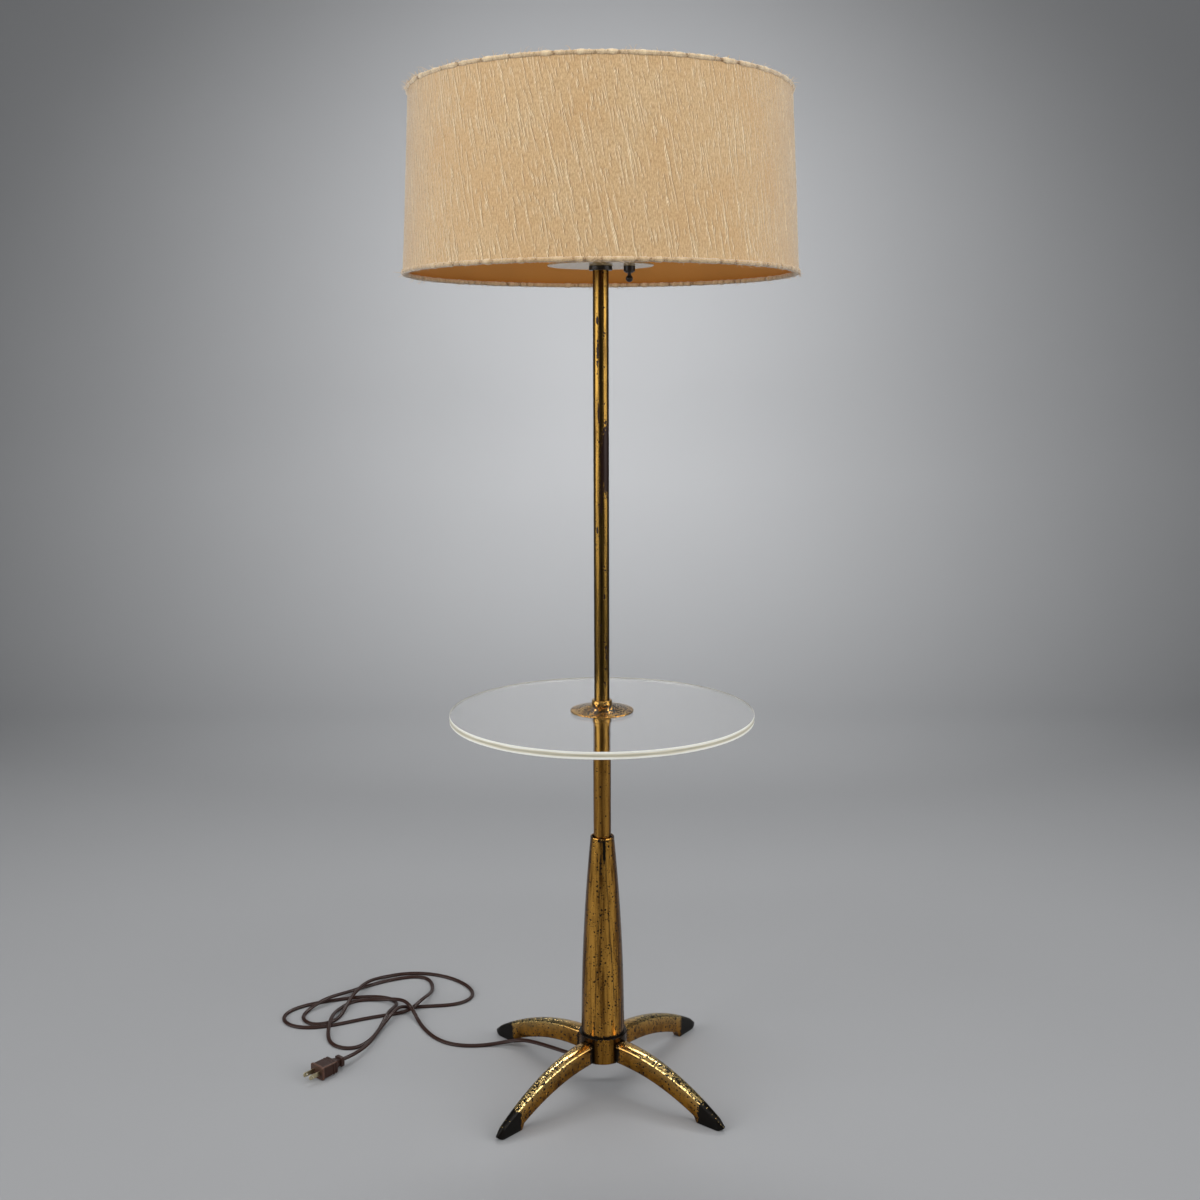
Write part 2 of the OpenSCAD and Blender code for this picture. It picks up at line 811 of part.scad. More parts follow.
// Control points that make the smooth curve pass through the chosen points
function cord_control(p) = let (n = len(p) - 1)
    [for (i = [0:n]) i == 0 || i == n ? p[i] : p[i] + (2 * p[i] - p[i - 1] - p[i + 1]) / 6];

function cord_padded(b) = let (n = len(b) - 1)
    concat([2 * b[0] - b[1]], b, [2 * b[n] - b[n - 1]]);

function spline(a, b, c, d, t) = (pow(1 - t, 3) * a + (3 * pow(t, 3) - 6 * t * t + 4) * b
    + (-3 * pow(t, 3) + 3 * t * t + 3 * t + 1) * c + pow(t, 3) * d) / 6;

function cord_path(p, steps) = let (b = cord_padded(cord_control(p)))
    concat([for (i = [0:len(p) - 2]) for (k = [0:steps - 1])
        spline(b[i], b[i + 1], b[i + 2], b[i + 3], k / steps)], [p[len(p) - 1]]);

function unit(v) = v / norm(v);

// For each ring: its centre, the direction of its width and the direction of its thickness
function cord_rings(path) = let (n = len(path) - 1)
    [for (i = [0:n])
        let (t = unit(path[min(i + 1, n)] - path[max(i - 1, 0)]),
            side = unit(cross(cord_lean, t)), up = cross(t, side),
            half = norm([cord_w / 2 * side.z, cord_t / 2 * up.z]))
        [[path[i].x, path[i].y, max(0, path[i].z) + half], side, up, half]];

// Least gap between two stretches of the cord that pass each other, measured on points
function cord_gap(rings) =
    let (fine = [for (i = [0:len(rings) - 2]) for (k = [0:5])
            [rings[i][0] + (rings[i + 1][0] - rings[i][0]) * k / 6, rings[i][3]]],
        skip = 30)
    min([for (i = [0:len(fine) - 1 - skip]) for (j = [i + skip:len(fine) - 1])
        let (v = fine[j][0] - fine[i][0], flat = norm([v.x, v.y]))
        if (flat < 8) max(abs(v.z) - fine[i][1] - fine[j][1], flat - cord_w)]);

module cord() {
    rings = cord_rings(cord_path(cord_points, cord_steps));
    points = [for (r = rings) for (k = [0:cord_sides - 1]) let (a = 360 * (k + 0.5) / cord_sides)
        r[0] + r[1] * cord_w / 2 * cos(a) + r[2] * cord_t / 2 * sin(a)];
    echo(str("least gap of the cord to itself, mm: ", cord_gap(rings)));
    color(brown) polyhedron(points, skin_faces(len(rings), cord_sides));
}

module at_plug() {
    translate(plug_at) rotate([0, 0, plug_turn]) rotate([90, 0, 90]) children();
}

// The plug lies on its side: a block with a front rim, and a waisted strain relief behind
module plug_body() {
    corner = 2;
    rim = 3.5;
    color(brown)
        difference() {
            at_plug() {
                translate([0, 0, -plug_l])
                    linear_extrude(plug_l) round_rect(plug_w - 3, plug_h - 1.6, corner);
                translate([0, 0, -rim]) linear_extrude(rim) round_rect(plug_w, plug_h, 3);
                translate([0, 0, -plug_l - relief_l]) {
                    linear_extrude(relief_l + over) round_rect(9, 8, 2);
                    linear_extrude(relief_l * 0.45) round_rect(12, 12, 2);
                    translate([0, 0, relief_l * 0.6])
                        linear_extrude(relief_l * 0.4 + over) round_rect(15, 14, 2);
                }
            }
            at_plug() for (side = [-1, 1])
                translate([side * blade_gap / 2 - blade_t / 2, -blade_w / 2, -blade_in])
                    cube([blade_t, blade_w, blade_in + over]);
        }
}

module plug_blades() {
    tip = 1.4;
    color(bright_brass)
        at_plug() for (side = [-1, 1])
            translate([side * blade_gap / 2 - blade_t / 2, 0, 0])
                rotate([90, 0, 90]) linear_extrude(blade_t)
                    difference() {
                        polygon([[-blade_w / 2, -blade_in], [blade_w / 2, -blade_in],
                            [blade_w / 2, blade_out - tip], [blade_w / 2 - tip, blade_out],
                            [-blade_w / 2 + tip, blade_out], [-blade_w / 2, blade_out - tip]]);
                        translate([0, blade_out - 5.5]) circle(d = 3, $fn = 32);
                    }
}

hub();
leg_back_right();
leg_back_left();
leg_front_left();
leg_front_right();
leg_screws();
column();
column_collar();
lower_tube();
lower_plug();
table_top();
table_flange();
upper_tube();
upper_plug();
pole_cap();
centre_pipe();
base_washer();
base_nut();
pipe_bushing();
inner_lead();
light_plate();
plate_washer();
plate_nut();
hickey();
riser_pipe();
shade_stud();
shade_spider();
bottom_ring();
shade_cover();
shade_lining();
top_trim();
bottom_trim();
finial();
lampholder_1();
lampholder_2();
lampholder_3();
screw_shells();
bulb_1();
bulb_2();
bulb_3();
holder_rivets();
socket_leads();
switch_lead();
switch_body();
switch_nut();
switch_knob();
cord();
plug_body();
plug_blades();
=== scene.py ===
import math

import bpy
import numpy as np
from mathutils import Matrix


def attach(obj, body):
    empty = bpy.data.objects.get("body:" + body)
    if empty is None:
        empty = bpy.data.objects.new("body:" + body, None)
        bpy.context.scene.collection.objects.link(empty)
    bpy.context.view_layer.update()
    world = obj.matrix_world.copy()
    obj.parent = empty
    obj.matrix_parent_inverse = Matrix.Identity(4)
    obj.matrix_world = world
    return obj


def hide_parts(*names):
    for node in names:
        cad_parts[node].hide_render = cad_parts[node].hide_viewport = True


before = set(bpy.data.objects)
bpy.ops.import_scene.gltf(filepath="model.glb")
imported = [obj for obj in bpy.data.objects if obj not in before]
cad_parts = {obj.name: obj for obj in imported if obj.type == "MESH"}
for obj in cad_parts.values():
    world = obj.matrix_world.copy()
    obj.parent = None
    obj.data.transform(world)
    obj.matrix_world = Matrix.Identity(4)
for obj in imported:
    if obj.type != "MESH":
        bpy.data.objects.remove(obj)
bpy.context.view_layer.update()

MM = 0.001
RANDOM = np.random.default_rng(20)
scene = bpy.context.scene


# ---------------------------------------------------------------- camera

def make_camera():
    """A 41.5 mm lens about 1.8 m in front of the pole, looking down a little."""
    lens = bpy.data.cameras.new("camera")
    lens.lens = 41.46
    lens.sensor_width = 36
    camera = bpy.data.objects.new("camera", lens)
    camera.location = (-0.0012, -1.8175, 0.9935)
    camera.rotation_euler = (math.radians(90 - 9.54), math.radians(0.176), 0)
    scene.collection.objects.link(camera)
    scene.camera = camera


make_camera()


# ---------------------------------------------------------------- meshes

def add_piece(name, points, faces, body, material, replaces=(), marks=None, smooth=True):
    """Makes a piece from points in millimetres. body is the one it rides on, and replaces names
    the CAD nodes it stands for. marks are numbers or vectors for each point that its material
    reads."""
    mesh = bpy.data.meshes.new(name)
    mesh.from_pydata((np.asarray(points, float) * MM).tolist(), [], faces)
    mesh.polygons.foreach_set("use_smooth", [smooth] * len(mesh.polygons))
    for mark, values in (marks or {}).items():
        values = np.asarray(values, np.float32)
        kind, key = ("FLOAT", "value") if values.ndim == 1 else ("FLOAT_VECTOR", "vector")
        mesh.attributes.new(mark, kind, "POINT").data.foreach_set(key, values.ravel())
    mesh.materials.append(material)
    mesh.update()
    piece = bpy.data.objects.new(name, mesh)
    scene.collection.objects.link(piece)
    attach(piece, body)
    if replaces:
        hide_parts(*replaces)
    return piece


def grid_faces(rows, columns, closed=True, start=0):
    """Quads between rows of points; closed joins each row's last point to its first."""
    last = columns if closed else columns - 1
    return [[start + r * columns + c, start + r * columns + (c + 1) % columns,
             start + (r + 1) * columns + (c + 1) % columns, start + (r + 1) * columns + c]
            for r in range(rows - 1) for c in range(last)]


def loft(rings, ends=True):
    """Points and faces of a skin over rings of points, with flat ends."""
    rings = np.asarray(rings, float)
    rows, columns = rings.shape[:2]
    faces = grid_faces(rows, columns)
    if ends:
        faces.append(list(range(columns))[::-1])
        faces.append([(rows - 1) * columns + c for c in range(columns)])
    return rings.reshape(-1, 3), faces


def join_shells(shells):
    """One list of points and faces from several."""
    points, faces = [], []
    for shell_points, shell_faces in shells:
        start = sum(len(p) for p in points)
        points.append(np.asarray(shell_points, float))
        faces += [[start + i for i in face] for face in shell_faces]
    return np.vstack(points), faces


def unit(v):
    return v / np.linalg.norm(v, axis=-1, keepdims=True)


def thread(path, radius, sides=5):
    """A thin round thread along a path, pointed at its far end."""
    path = np.asarray(path, float)
    along = unit(np.gradient(path, axis=0))
    across = np.array([0.3, 0.2, 1.0])  # no thread runs this way
    side = unit(np.cross(along, across))
    up = np.cross(along, side)
    turns = np.arange(sides) * 2 * math.pi / sides
    thin = np.linspace(1, 0.35, len(path)) * radius
    rings = (path[:, None] + side[:, None] * (np.cos(turns)[:, None] * thin[:, None, None])
             + up[:, None] * (np.sin(turns)[:, None] * thin[:, None, None]))
    return loft(rings)


# ---------------------------------------------------------------- materials

COLUMN_FOOT_Z, COLUMN_TOP_Z = 76, 359


def linear(hex_colour):
    """An sRGB hex colour as the linear colour that a shader takes."""
    parts = [int(hex_colour[i:i + 2], 16) / 255 for i in (1, 3, 5)]
    return [p / 12.92 if p <= 0.04045 else ((p + 0.055) / 1.055) ** 2.4 for p in parts] + [1]


def add_node(tree, kind, inputs=None, stops=None, **settings):
    """Adds a shader node. inputs maps its sockets to values or to other nodes' outputs."""
    node = tree.nodes.new("ShaderNode" + kind)
    for name, value in settings.items():
        setattr(node, name, value)
    for name, value in (inputs or {}).items():
        if isinstance(value, bpy.types.NodeSocket):
            tree.links.new(value, node.inputs[name])
        else:
            node.inputs[name].default_value = value
    if stops:
        elements = node.color_ramp.elements
        for i, (place, colour) in enumerate(stops):
            element = elements[i] if i < 2 else elements.new(place)
            element.position = place
            element.color = linear(colour) if isinstance(colour, str) else [colour] * 3 + [1]
    return node


def new_material(name):
    """An empty material: its tree, its surface shader and its object coordinates in mm."""
    material = bpy.data.materials.new(name)
    material.use_nodes = True
    tree = material.node_tree
    tree.nodes.clear()
    shader = add_node(tree, "BsdfPrincipled")
    output = add_node(tree, "OutputMaterial", {"Surface": shader.outputs[0]})
    place = add_node(tree, "VectorMath", {0: add_node(tree, "TexCoord").outputs["Object"],
                                          1: (1000, 1000, 1000)}, operation="MULTIPLY")
    return material, tree, shader, output, place.outputs[0]


def plug_in(tree, shader, **sockets):
    """Sets or links the shader's sockets, named with underscores for spaces."""
    for name, value in sockets.items():
        socket = shader.inputs[name.replace("_", " ")]
        if isinstance(value, bpy.types.NodeSocket):
            tree.links.new(value, socket)
        else:
            socket.default_value = value


def plain_material(name, colour, roughness, metallic=0.0, grain=1.5, shift=0.12, depth=0.02,
                   **sockets):
    """A finish with a slight uneven tone and a fine surface grain of a size in mm."""
    material, tree, shader, _, place = new_material(name)
    tone = add_node(tree, "TexNoise", {"Vector": place, "Scale": 1 / (grain * 8), "Detail": 3})
    dark = [c * (1 - shift) for c in linear(colour)[:3]] + [1]
    light = [min(1, c * (1 + shift)) for c in linear(colour)[:3]] + [1]
    mix = add_node(tree, "Mix", {0: tone.outputs[0], 6: dark, 7: light}, data_type="RGBA")
    fine = add_node(tree, "TexNoise", {"Vector": place, "Scale": 1 / grain, "Detail": 2})
    rough = add_node(tree, "MapRange", {"Value": fine.outputs[0], "To Min": roughness * 0.85,
                                        "To Max": roughness * 1.15})
    bump = add_node(tree, "Bump", {"Height": fine.outputs[0], "Strength": 0.4,
                                   "Distance": depth * MM})
    plug_in(tree, shader, Base_Color=mix.outputs[2], Roughness=rough.outputs[0],
            Metallic=metallic, Normal=bump.outputs[0], **sockets)
    return material


def assign(material, *nodes):
    """Gives CAD nodes their finish."""
    for name in nodes:
        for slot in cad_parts[name].material_slots:
            slot.material = material


def patch_mask(tree, place, patches):
    """1 inside ellipsoids of (centre, size, tilt in degrees about Y) in mm, fading to 0."""
    mask = 0.0
    for centre, size, tilt in patches:
        local = add_node(tree, "Mapping", {"Vector": place, "Location": centre, "Scale": size,
                                           "Rotation": (0, math.radians(tilt), 0)},
                         vector_type="TEXTURE")
        far = add_node(tree, "VectorMath", {0: local.outputs[0]}, operation="LENGTH")
        near = add_node(tree, "MapRange", {"Value": far.outputs["Value"], "From Min": 1,
                                           "From Max": 0.35})
        mask = add_node(tree, "Math", {0: mask, 1: near.outputs[0]}, operation="MAXIMUM").outputs[0]
    return mask


def pit_mask(tree, place, pits):
    """1 in small pits. Each kind of pit is (spacing, size, share of places with a pit) in mm."""
    mask = 0.0
    for spacing, size, share in pits:
        cell = add_node(tree, "TexVoronoi", {"Vector": place, "Scale": 1 / spacing})
        chance = add_node(tree, "SeparateColor", {"Color": cell.outputs["Color"]})
        radius = add_node(tree, "MapRange", {"Value": chance.outputs[0], "From Min": 1 - share,
                                             "From Max": 1.03 - share, "To Max": size / spacing})
        depth = add_node(tree, "Math", {0: radius.outputs[0], 1: cell.outputs["Distance"]},
                         operation="SUBTRACT")
        pit = add_node(tree, "MapRange", {"Value": depth.outputs[0], "From Max": 0.03})
        mask = add_node(tree, "Math", {0: mask, 1: pit.outputs[0]}, operation="MAXIMUM").outputs[0]
    return mask


def around_pole(tree, place, slow):
    """The angle round the pole from the front, in radians and swaying a little, and the height."""
    axes = add_node(tree, "SeparateXYZ", {0: place}).outputs
    front = add_node(tree, "Math", {0: axes[1], 1: -1.0}, operation="MULTIPLY")
    angle = add_node(tree, "Math", {0: axes[0], 1: front.outputs[0]}, operation="ARCTAN2")
    sway = add_node(tree, "MapRange", {"Value": slow, "To Min": -0.12, "To Max": 0.12})
    swaying = add_node(tree, "Math", {0: angle.outputs[0], 1: sway.outputs[0]}, operation="ADD")
    return swaying.outputs[0], axes[2]


def painted_reflection_lines(tree, angle, height, lines):
    """Painted reflections, as dark lines that run up the column, each given as (degrees at its
    foot, degrees at its top, half width in degrees, share of darkness)."""
    mask = 0.0
    for foot, top, wide, share in lines:
        middle = add_node(tree, "MapRange", {
            "Value": height, "From Min": COLUMN_FOOT_Z, "From Max": COLUMN_TOP_Z,
            "To Min": math.radians(foot), "To Max": math.radians(top)})
        off = add_node(tree, "Math", {0: angle, 1: middle.outputs[0]}, operation="SUBTRACT")
        off = add_node(tree, "Math", {0: off.outputs[0]}, operation="ABSOLUTE")
        line = add_node(tree, "MapRange", {
            "Value": off.outputs[0], "From Min": math.radians(wide),
            "From Max": math.radians(wide * 0.4), "To Max": share})
        mask = add_node(tree, "Math", {0: mask, 1: line.outputs[0]}, operation="MAXIMUM").outputs[0]
    return mask


def aged_brass(name, gold="#DCA64F", brown="#8A6029", film="#0C0804", roughness=0.2,
               pits=((5, 1.5, 0.4), (2.8, 0.85, 0.35)), flakes=(), tarnish_and_painted_light=(), bands=(), lines=(),
               marked=False):
    """Brass that was polished and lacquered decades ago. It is golden where the lacquer holds
    and brown where that has thinned, with small black pits of corrosion. flakes are patches of
    broken lacquer, and the other patches are of near-black tarnish, a few of them painted shade
    in creases and one a painted reflection. Round pieces have upright bands of painted
    reflection, given as (degrees from the front, darkness), which on the drum also paint shade
    into the corners by the feet, and dark lines of painted reflection. A marked piece carries
    marks for its crest, which is rubbed bright, and for its toe, which is black; the toe mark
    also paints shade at the foot's root by the drum."""
    material, tree, shader, _, place = new_material(name)
    # The edges of pits, flakes and the near-black patches wander by up to 2 mm.
    warp = add_node(tree, "TexNoise", {"Vector": place, "Scale": 0.5, "Detail": 2})
    ragged = add_node(tree, "VectorMath", {0: warp.outputs["Color"], 1: (2.2, 2.2, 2.2), 2: place},
                      operation="MULTIPLY_ADD").outputs[0]
    # Tone is in streaks 3 mm wide and 70 mm long on drawn and spun pieces, and else in clouds.
    streaks = (0.33, 0.33, 0.014) if bands else (0.06, 0.06, 0.06)
    drawn = add_node(tree, "Mapping", {"Vector": ragged, "Scale": streaks})
    slow = add_node(tree, "TexNoise", {"Vector": drawn.outputs[0], "Scale": 1, "Detail": 4,
                                       "Roughness": 0.6}).outputs[0]
    tone = add_node(tree, "MapRange", {"Value": slow, "From Min": 0.42, "From Max": 0.7,
                                       "To Max": 0.55}).outputs[0]
    dark = pit_mask(tree, ragged, pits)
    # Bands and lines placed by the angle from the front are painted reflection; on the drum the
    # bands also paint shade into the corners by the feet.
    if bands:
        angle, height = around_pole(tree, place, slow)
        turn = add_node(tree, "MapRange", {"Value": angle, "From Min": -math.pi,
                                           "From Max": math.pi})
        painted_light_band = add_node(tree, "ValToRGB", {0: turn.outputs[0]},
                        stops=[(0.5 + at / 360, shade) for at, shade in bands])
        tone = add_node(tree, "Math", {0: tone, 1: painted_light_band.outputs[0]}, operation="ADD",
                        use_clamp=True).outputs[0]
        dark = add_node(tree, "Math", {0: dark, 1: painted_reflection_lines(tree, angle, height, lines)},
                        operation="MAXIMUM").outputs[0]
    metal = add_node(tree, "ValToRGB", {0: tone},
                     stops=[(0, gold), (0.55, brown), (1, "#33220F")]).outputs[0]
    # Where a mask is 0 the crackle stays under the first limit, and where it is 1 it breaks
    # through the second.
    crackle = add_node(tree, "TexNoise", {"Vector": ragged, "Scale": 0.32, "Detail": 4,
                                          "Roughness": 0.65}).outputs[0]
    # Each mask below breaks the lacquer into dark flakes. Most are wear and tarnish; the toe mark's
    # root part and some near-black patches are painted shade, and one is a painted reflection.
    worn = []
    if marked:
        crest = add_node(tree, "Attribute", attribute_name="crest").outputs["Fac"]
        # The toe mark is black over the toe pad, and painted shade at the foot's root by the drum.
        toe = add_node(tree, "Attribute", attribute_name="toe").outputs["Fac"]
        worn += [(crest, 0.68, 0.5), (toe, 0.8, 0.1)]
        metal = add_node(tree, "Mix", {0: crest, 6: metal, 7: linear("#EFD08A")},
                         data_type="RGBA").outputs[2]
    if flakes:
        worn.append((patch_mask(tree, place, flakes), 0.74, 0.46))
    if tarnish_and_painted_light:
        worn.append((patch_mask(tree, place, tarnish_and_painted_light), 0.84, 0.2))
    for mask, none, most in worn:
        limit = add_node(tree, "MapRange", {"Value": mask, "To Min": none, "To Max": most})
        over = add_node(tree, "Math", {0: crackle, 1: limit.outputs[0]}, operation="SUBTRACT")
        flake = add_node(tree, "MapRange", {"Value": over.outputs[0], "From Max": 0.02})
        dark = add_node(tree, "Math", {0: dark, 1: flake.outputs[0]},
                        operation="MAXIMUM").outputs[0]
    colour = add_node(tree, "Mix", {0: dark, 6: metal, 7: linear(film)}, data_type="RGBA")
    fine = add_node(tree, "TexNoise", {"Vector": place, "Scale": 0.8, "Detail": 5,
                                       "Roughness": 0.7})
    rough = add_node(tree, "MapRange", {"Value": fine.outputs[0], "To Min": roughness * 0.7,
                                        "To Max": roughness * 1.5})
    rough = add_node(tree, "Mix", {0: dark, 2: rough.outputs[0], 3: 0.3}, data_type="FLOAT")
    metallic = add_node(tree, "MapRange", {"Value": dark, "To Min": 1, "To Max": 0.3})
    sunk = add_node(tree, "Math", {0: dark, 1: -1.0, 2: fine.outputs[0]}, operation="MULTIPLY_ADD")
    bump = add_node(tree, "Bump", {"Height": sunk.outputs[0], "Strength": 0.35,
                                   "Distance": 0.25 * MM})
    plug_in(tree, shader, Base_Color=colour.outputs[2], Roughness=rough.outputs[0],
            Metallic=metallic.outputs[0], Normal=bump.outputs[0], Specular_IOR_Level=0.2)
    return material


# ---------------------------------------------------------------- cord and plug

PLUG_FACE = np.array([-406.0, 4.0, 10.0])
PLUG_WAY = np.array([math.cos(math.radians(230)), math.sin(math.radians(230)), 0.0])
PLUG_LENGTH = 45
PLUG_END = PLUG_FACE - PLUG_LENGTH * PLUG_WAY
CORD_WIDTH, CORD_THICK = 5.8, 3.6
CORD_EXIT = (0, 0, 56)
CORD_LIFT = 7.9  # how high the cord's underside enters the plug
CORD_POINTS = [
    CORD_EXIT, (0, 0, 52.5), (0, 0, 49), (-3, 2, 36), (-11, 7, 27), (-31, 19, 22.5),
    (-62, 40, 21.5), (-95, 68, 17.5), (-123, 90, 11.5), (-153, 99, 2), (-195, 94, 0),
    (-235, 105, 0), (-265, 138, 0), (-284, 175, 0.5), (-300, 204, 9.8), (-319, 228, 9),
    (-350, 244, 1.5), (-390, 244, 0), (-413, 215, 0), (-417, 169, 7.8), (-413, 124, 0.5),
    (-396, 95, 0), (-367, 89, 0), (-347, 118, 0), (-339, 158, 0), (-332, 195, 7.2),
    (-325, 228, 0.5), (-342, 253, 0), (-385, 257, 0), (-430, 244, 0), (-473, 225, 0),
    (-495, 193, 0), (-475, 159, 0), (-430, 155, 0), (-380, 177, 0), (-338, 194, 0),
    (-303, 206, 1.8), (-286, 230, 9.8), (-275, 280, 0), (-290, 326, 0), (-331, 326, 0),
    (-381, 298, 0), (-412, 266, 3), (-437, 237, 7.5), (-459, 213, 1), (-464, 187, 0),
    (-445, 164, 0), (-417, 173, 0), (-406, 200, 0.8), (-399, 240, 7.8), (-384, 290, 8.8),
    (-364, 325, 1), (-325, 343, 0), (-275, 338, 0), (-231, 309, 0), (-208, 268, 0),
    (-225, 234, 0), (-265, 225, 0), (-302, 219, 0), (-318, 200, 10.4), (-331, 165, 6.2),
    (-337, 143, 5.3), (-342, 118, 5.3), (-346, 97, 5.4), (-354, 73, 6.3),
    (*(PLUG_END - 17 * PLUG_WAY)[:2], CORD_LIFT - 0.3),
    (*(PLUG_END - 8 * PLUG_WAY)[:2], CORD_LIFT), (*PLUG_END[:2], CORD_LIFT)]


def cord_line(points, steps):
    """A smooth curve that runs closely past the route's points and begins and ends on them."""
    p = np.array(points, float)
    b = p.copy()
    b[1:-1] += (2 * p[1:-1] - p[:-2] - p[2:]) / 6
    b = np.vstack([2 * b[0] - b[1], b, 2 * b[-1] - b[-2]])
    t = (np.arange(steps) / steps)[:, None]
    parts = [((1 - t) ** 3 * b[i] + (3 * t ** 3 - 6 * t ** 2 + 4) * b[i + 1]
              + (-3 * t ** 3 + 3 * t ** 2 + 3 * t + 1) * b[i + 2] + t ** 3 * b[i + 3]) / 6
             for i in range(len(p) - 1)]
    return np.vstack(parts + [p[-1:]])


def make_cord(material):
    """Two cores side by side in one rubber jacket, with a groove between them."""
    line = cord_line(CORD_POINTS, 9)
    along = unit(np.gradient(line, axis=0))
    side = unit(np.cross([0, -0.6, 0.8], along))
    up = np.cross(along, side)
    core = CORD_THICK / 2
    apart = CORD_WIDTH / 2 - core
    # The section's lowest point lies at the route's height, pressed 0.1 mm into the floor.
    lowest = apart * abs(side[:, 2]) + core * np.hypot(side[:, 2], up[:, 2])
    line[:, 2] = np.maximum(0, line[:, 2]) + lowest - 0.1
    turn = math.pi - math.acos(apart / core)
    right = np.linspace(-turn, turn, 11)
    section = [(apart + core * math.cos(a), core * math.sin(a)) for a in right]
    section += [(-apart - core * math.cos(a), -core * math.sin(a)) for a in -right[1:-1][::-1]]
    section = np.array(section)
    rings = (line[:, None] + side[:, None] * section[:, 0, None]
             + up[:, None] * section[:, 1, None])
    points, faces = loft(rings)
    piece = add_piece("mains_cord", points, faces, "root", material, ["cord"])


def make_plug(material):
    """A moulded two-blade plug: a block with a front rim and two grip grooves, and behind it a
    square strain relief with a waist."""
    stations = [  # place behind the face, half width, half height, squareness
        (0, 12.7, 9.3, 7), (-0.4, 13.2, 9.7, 8), (-1.1, 13.5, 10, 8), (-3.0, 13.5, 10, 8),
        (-3.5, 13.2, 9.8, 8), (-3.7, 12.2, 9.3, 9), (-4.6, 12, 9.2, 9), (-18.6, 12, 9.2, 9),
        (-19.1, 11.3, 8.6, 8), (-20.5, 11.3, 8.6, 8), (-21, 12, 9.2, 9), (-23.4, 12, 9.2, 9),
        (-23.9, 11.3, 8.6, 8), (-25.3, 11.3, 8.6, 8), (-25.8, 12, 9.2, 9), (-28, 11.9, 9.1, 9),
        (-28.7, 11.5, 8.7, 8), (-29, 10.8, 8.1, 7), (-29, 6.3, 6.3, 6), (-35.4, 5.9, 5.9, 6),
        (-36.1, 5.0, 4.6, 5), (-37.6, 4.6, 4.1, 5), (-38.6, 5.4, 4.9, 5), (-39, 7.1, 6.6, 6),
        (-39.6, 7.5, 7.0, 7), (-44.3, 7.4, 6.9, 7), (-44.8, 7.0, 6.5, 6), (-45, 6.2, 5.6, 5)]
    across = np.array([-PLUG_WAY[1], PLUG_WAY[0], 0])
    turns = np.linspace(0, 2 * math.pi, 48, endpoint=False)
    rings, edge = [], []
    for place, half_w, half_h, square in stations:
        c, s = np.cos(turns), np.sin(turns)
        x = half_w * np.sign(c) * abs(c) ** (2 / square)
        z = half_h * np.sign(s) * abs(s) ** (2 / square)
        rings.append(PLUG_FACE + PLUG_WAY * place + across * x[:, None]
                     + np.array([0, 0, 1]) * z[:, None])
        corner = abs(np.sin(2 * turns)) ** 6
        lip = 0.8 if -3.5 <= place <= -0.3 else 0.45 if place < -28 and place > -29 else 0.0
        edge.append(np.maximum(corner * (place > -28), lip))
    points, faces = loft(rings)
    return add_piece("plug_moulding", points, faces, "root", material,
                     ["plug_body"], {"edge": np.ravel(edge)}, smooth=False)


def cord_rubber():
    """Brown rubber jacket, extruded: satin, a little dusty, with a faint grain along it."""
    return plain_material("cord_rubber", "#2B140B", 0.36, grain=2.2, shift=0.25, IOR=1.52,
                          Specular_IOR_Level=0.3)


def plug_rubber():
    """Brown moulded rubber, rubbed paler along its edges."""
    material = plain_material("plug_rubber", "#311A10", 0.42, grain=1.8, shift=0.2, IOR=1.52,
                              Specular_IOR_Level=0.3)
    tree = material.node_tree
    shader = next(n for n in tree.nodes if n.type == "BSDF_PRINCIPLED")
    under = shader.inputs["Base Color"].links[0].from_socket
    edge = add_node(tree, "Attribute", attribute_name="edge").outputs["Fac"]
    # Specks 2 mm apart; object coordinates are metres here.
    specks = add_node(tree, "TexNoise", {"Scale": 500, "Detail": 4, "Vector": add_node(
        tree, "TexCoord").outputs["Object"]}).outputs[0]
    worn = add_node(tree, "Math", {0: edge, 1: specks}, operation="MULTIPLY").outputs[0]
    rubbed = add_node(tree, "Mix", {0: worn, 6: under, 7: linear("#7A5848")}, data_type="RGBA")
    plug_in(tree, shader, Base_Color=rubbed.outputs[2])
    return material


plug = make_plug(plug_rubber())
make_cord(cord_rubber())


# ---------------------------------------------------------------- feet

HUB_R = 33.5
FOOT_TURNS = (49, 139, 229, 319)
FOOT_REACH = 211
CREST_RISE, CREST_RUN = 68.5, 193  # the crest's height at the drum, and its way out to the floor
ARCH_RISE, ARCH_RUN = 41.5, 147.5  # the same for the arch under the foot
HEEL_START, HEEL_END = 166, 170
ROOT_WIDE, TOE_WIDE = 23, 10
TAPER_START, TOE_START = 45, 199
CURL_START, CURL_RISE = 201, 5  # where the sole leaves the floor, and how high its tip is


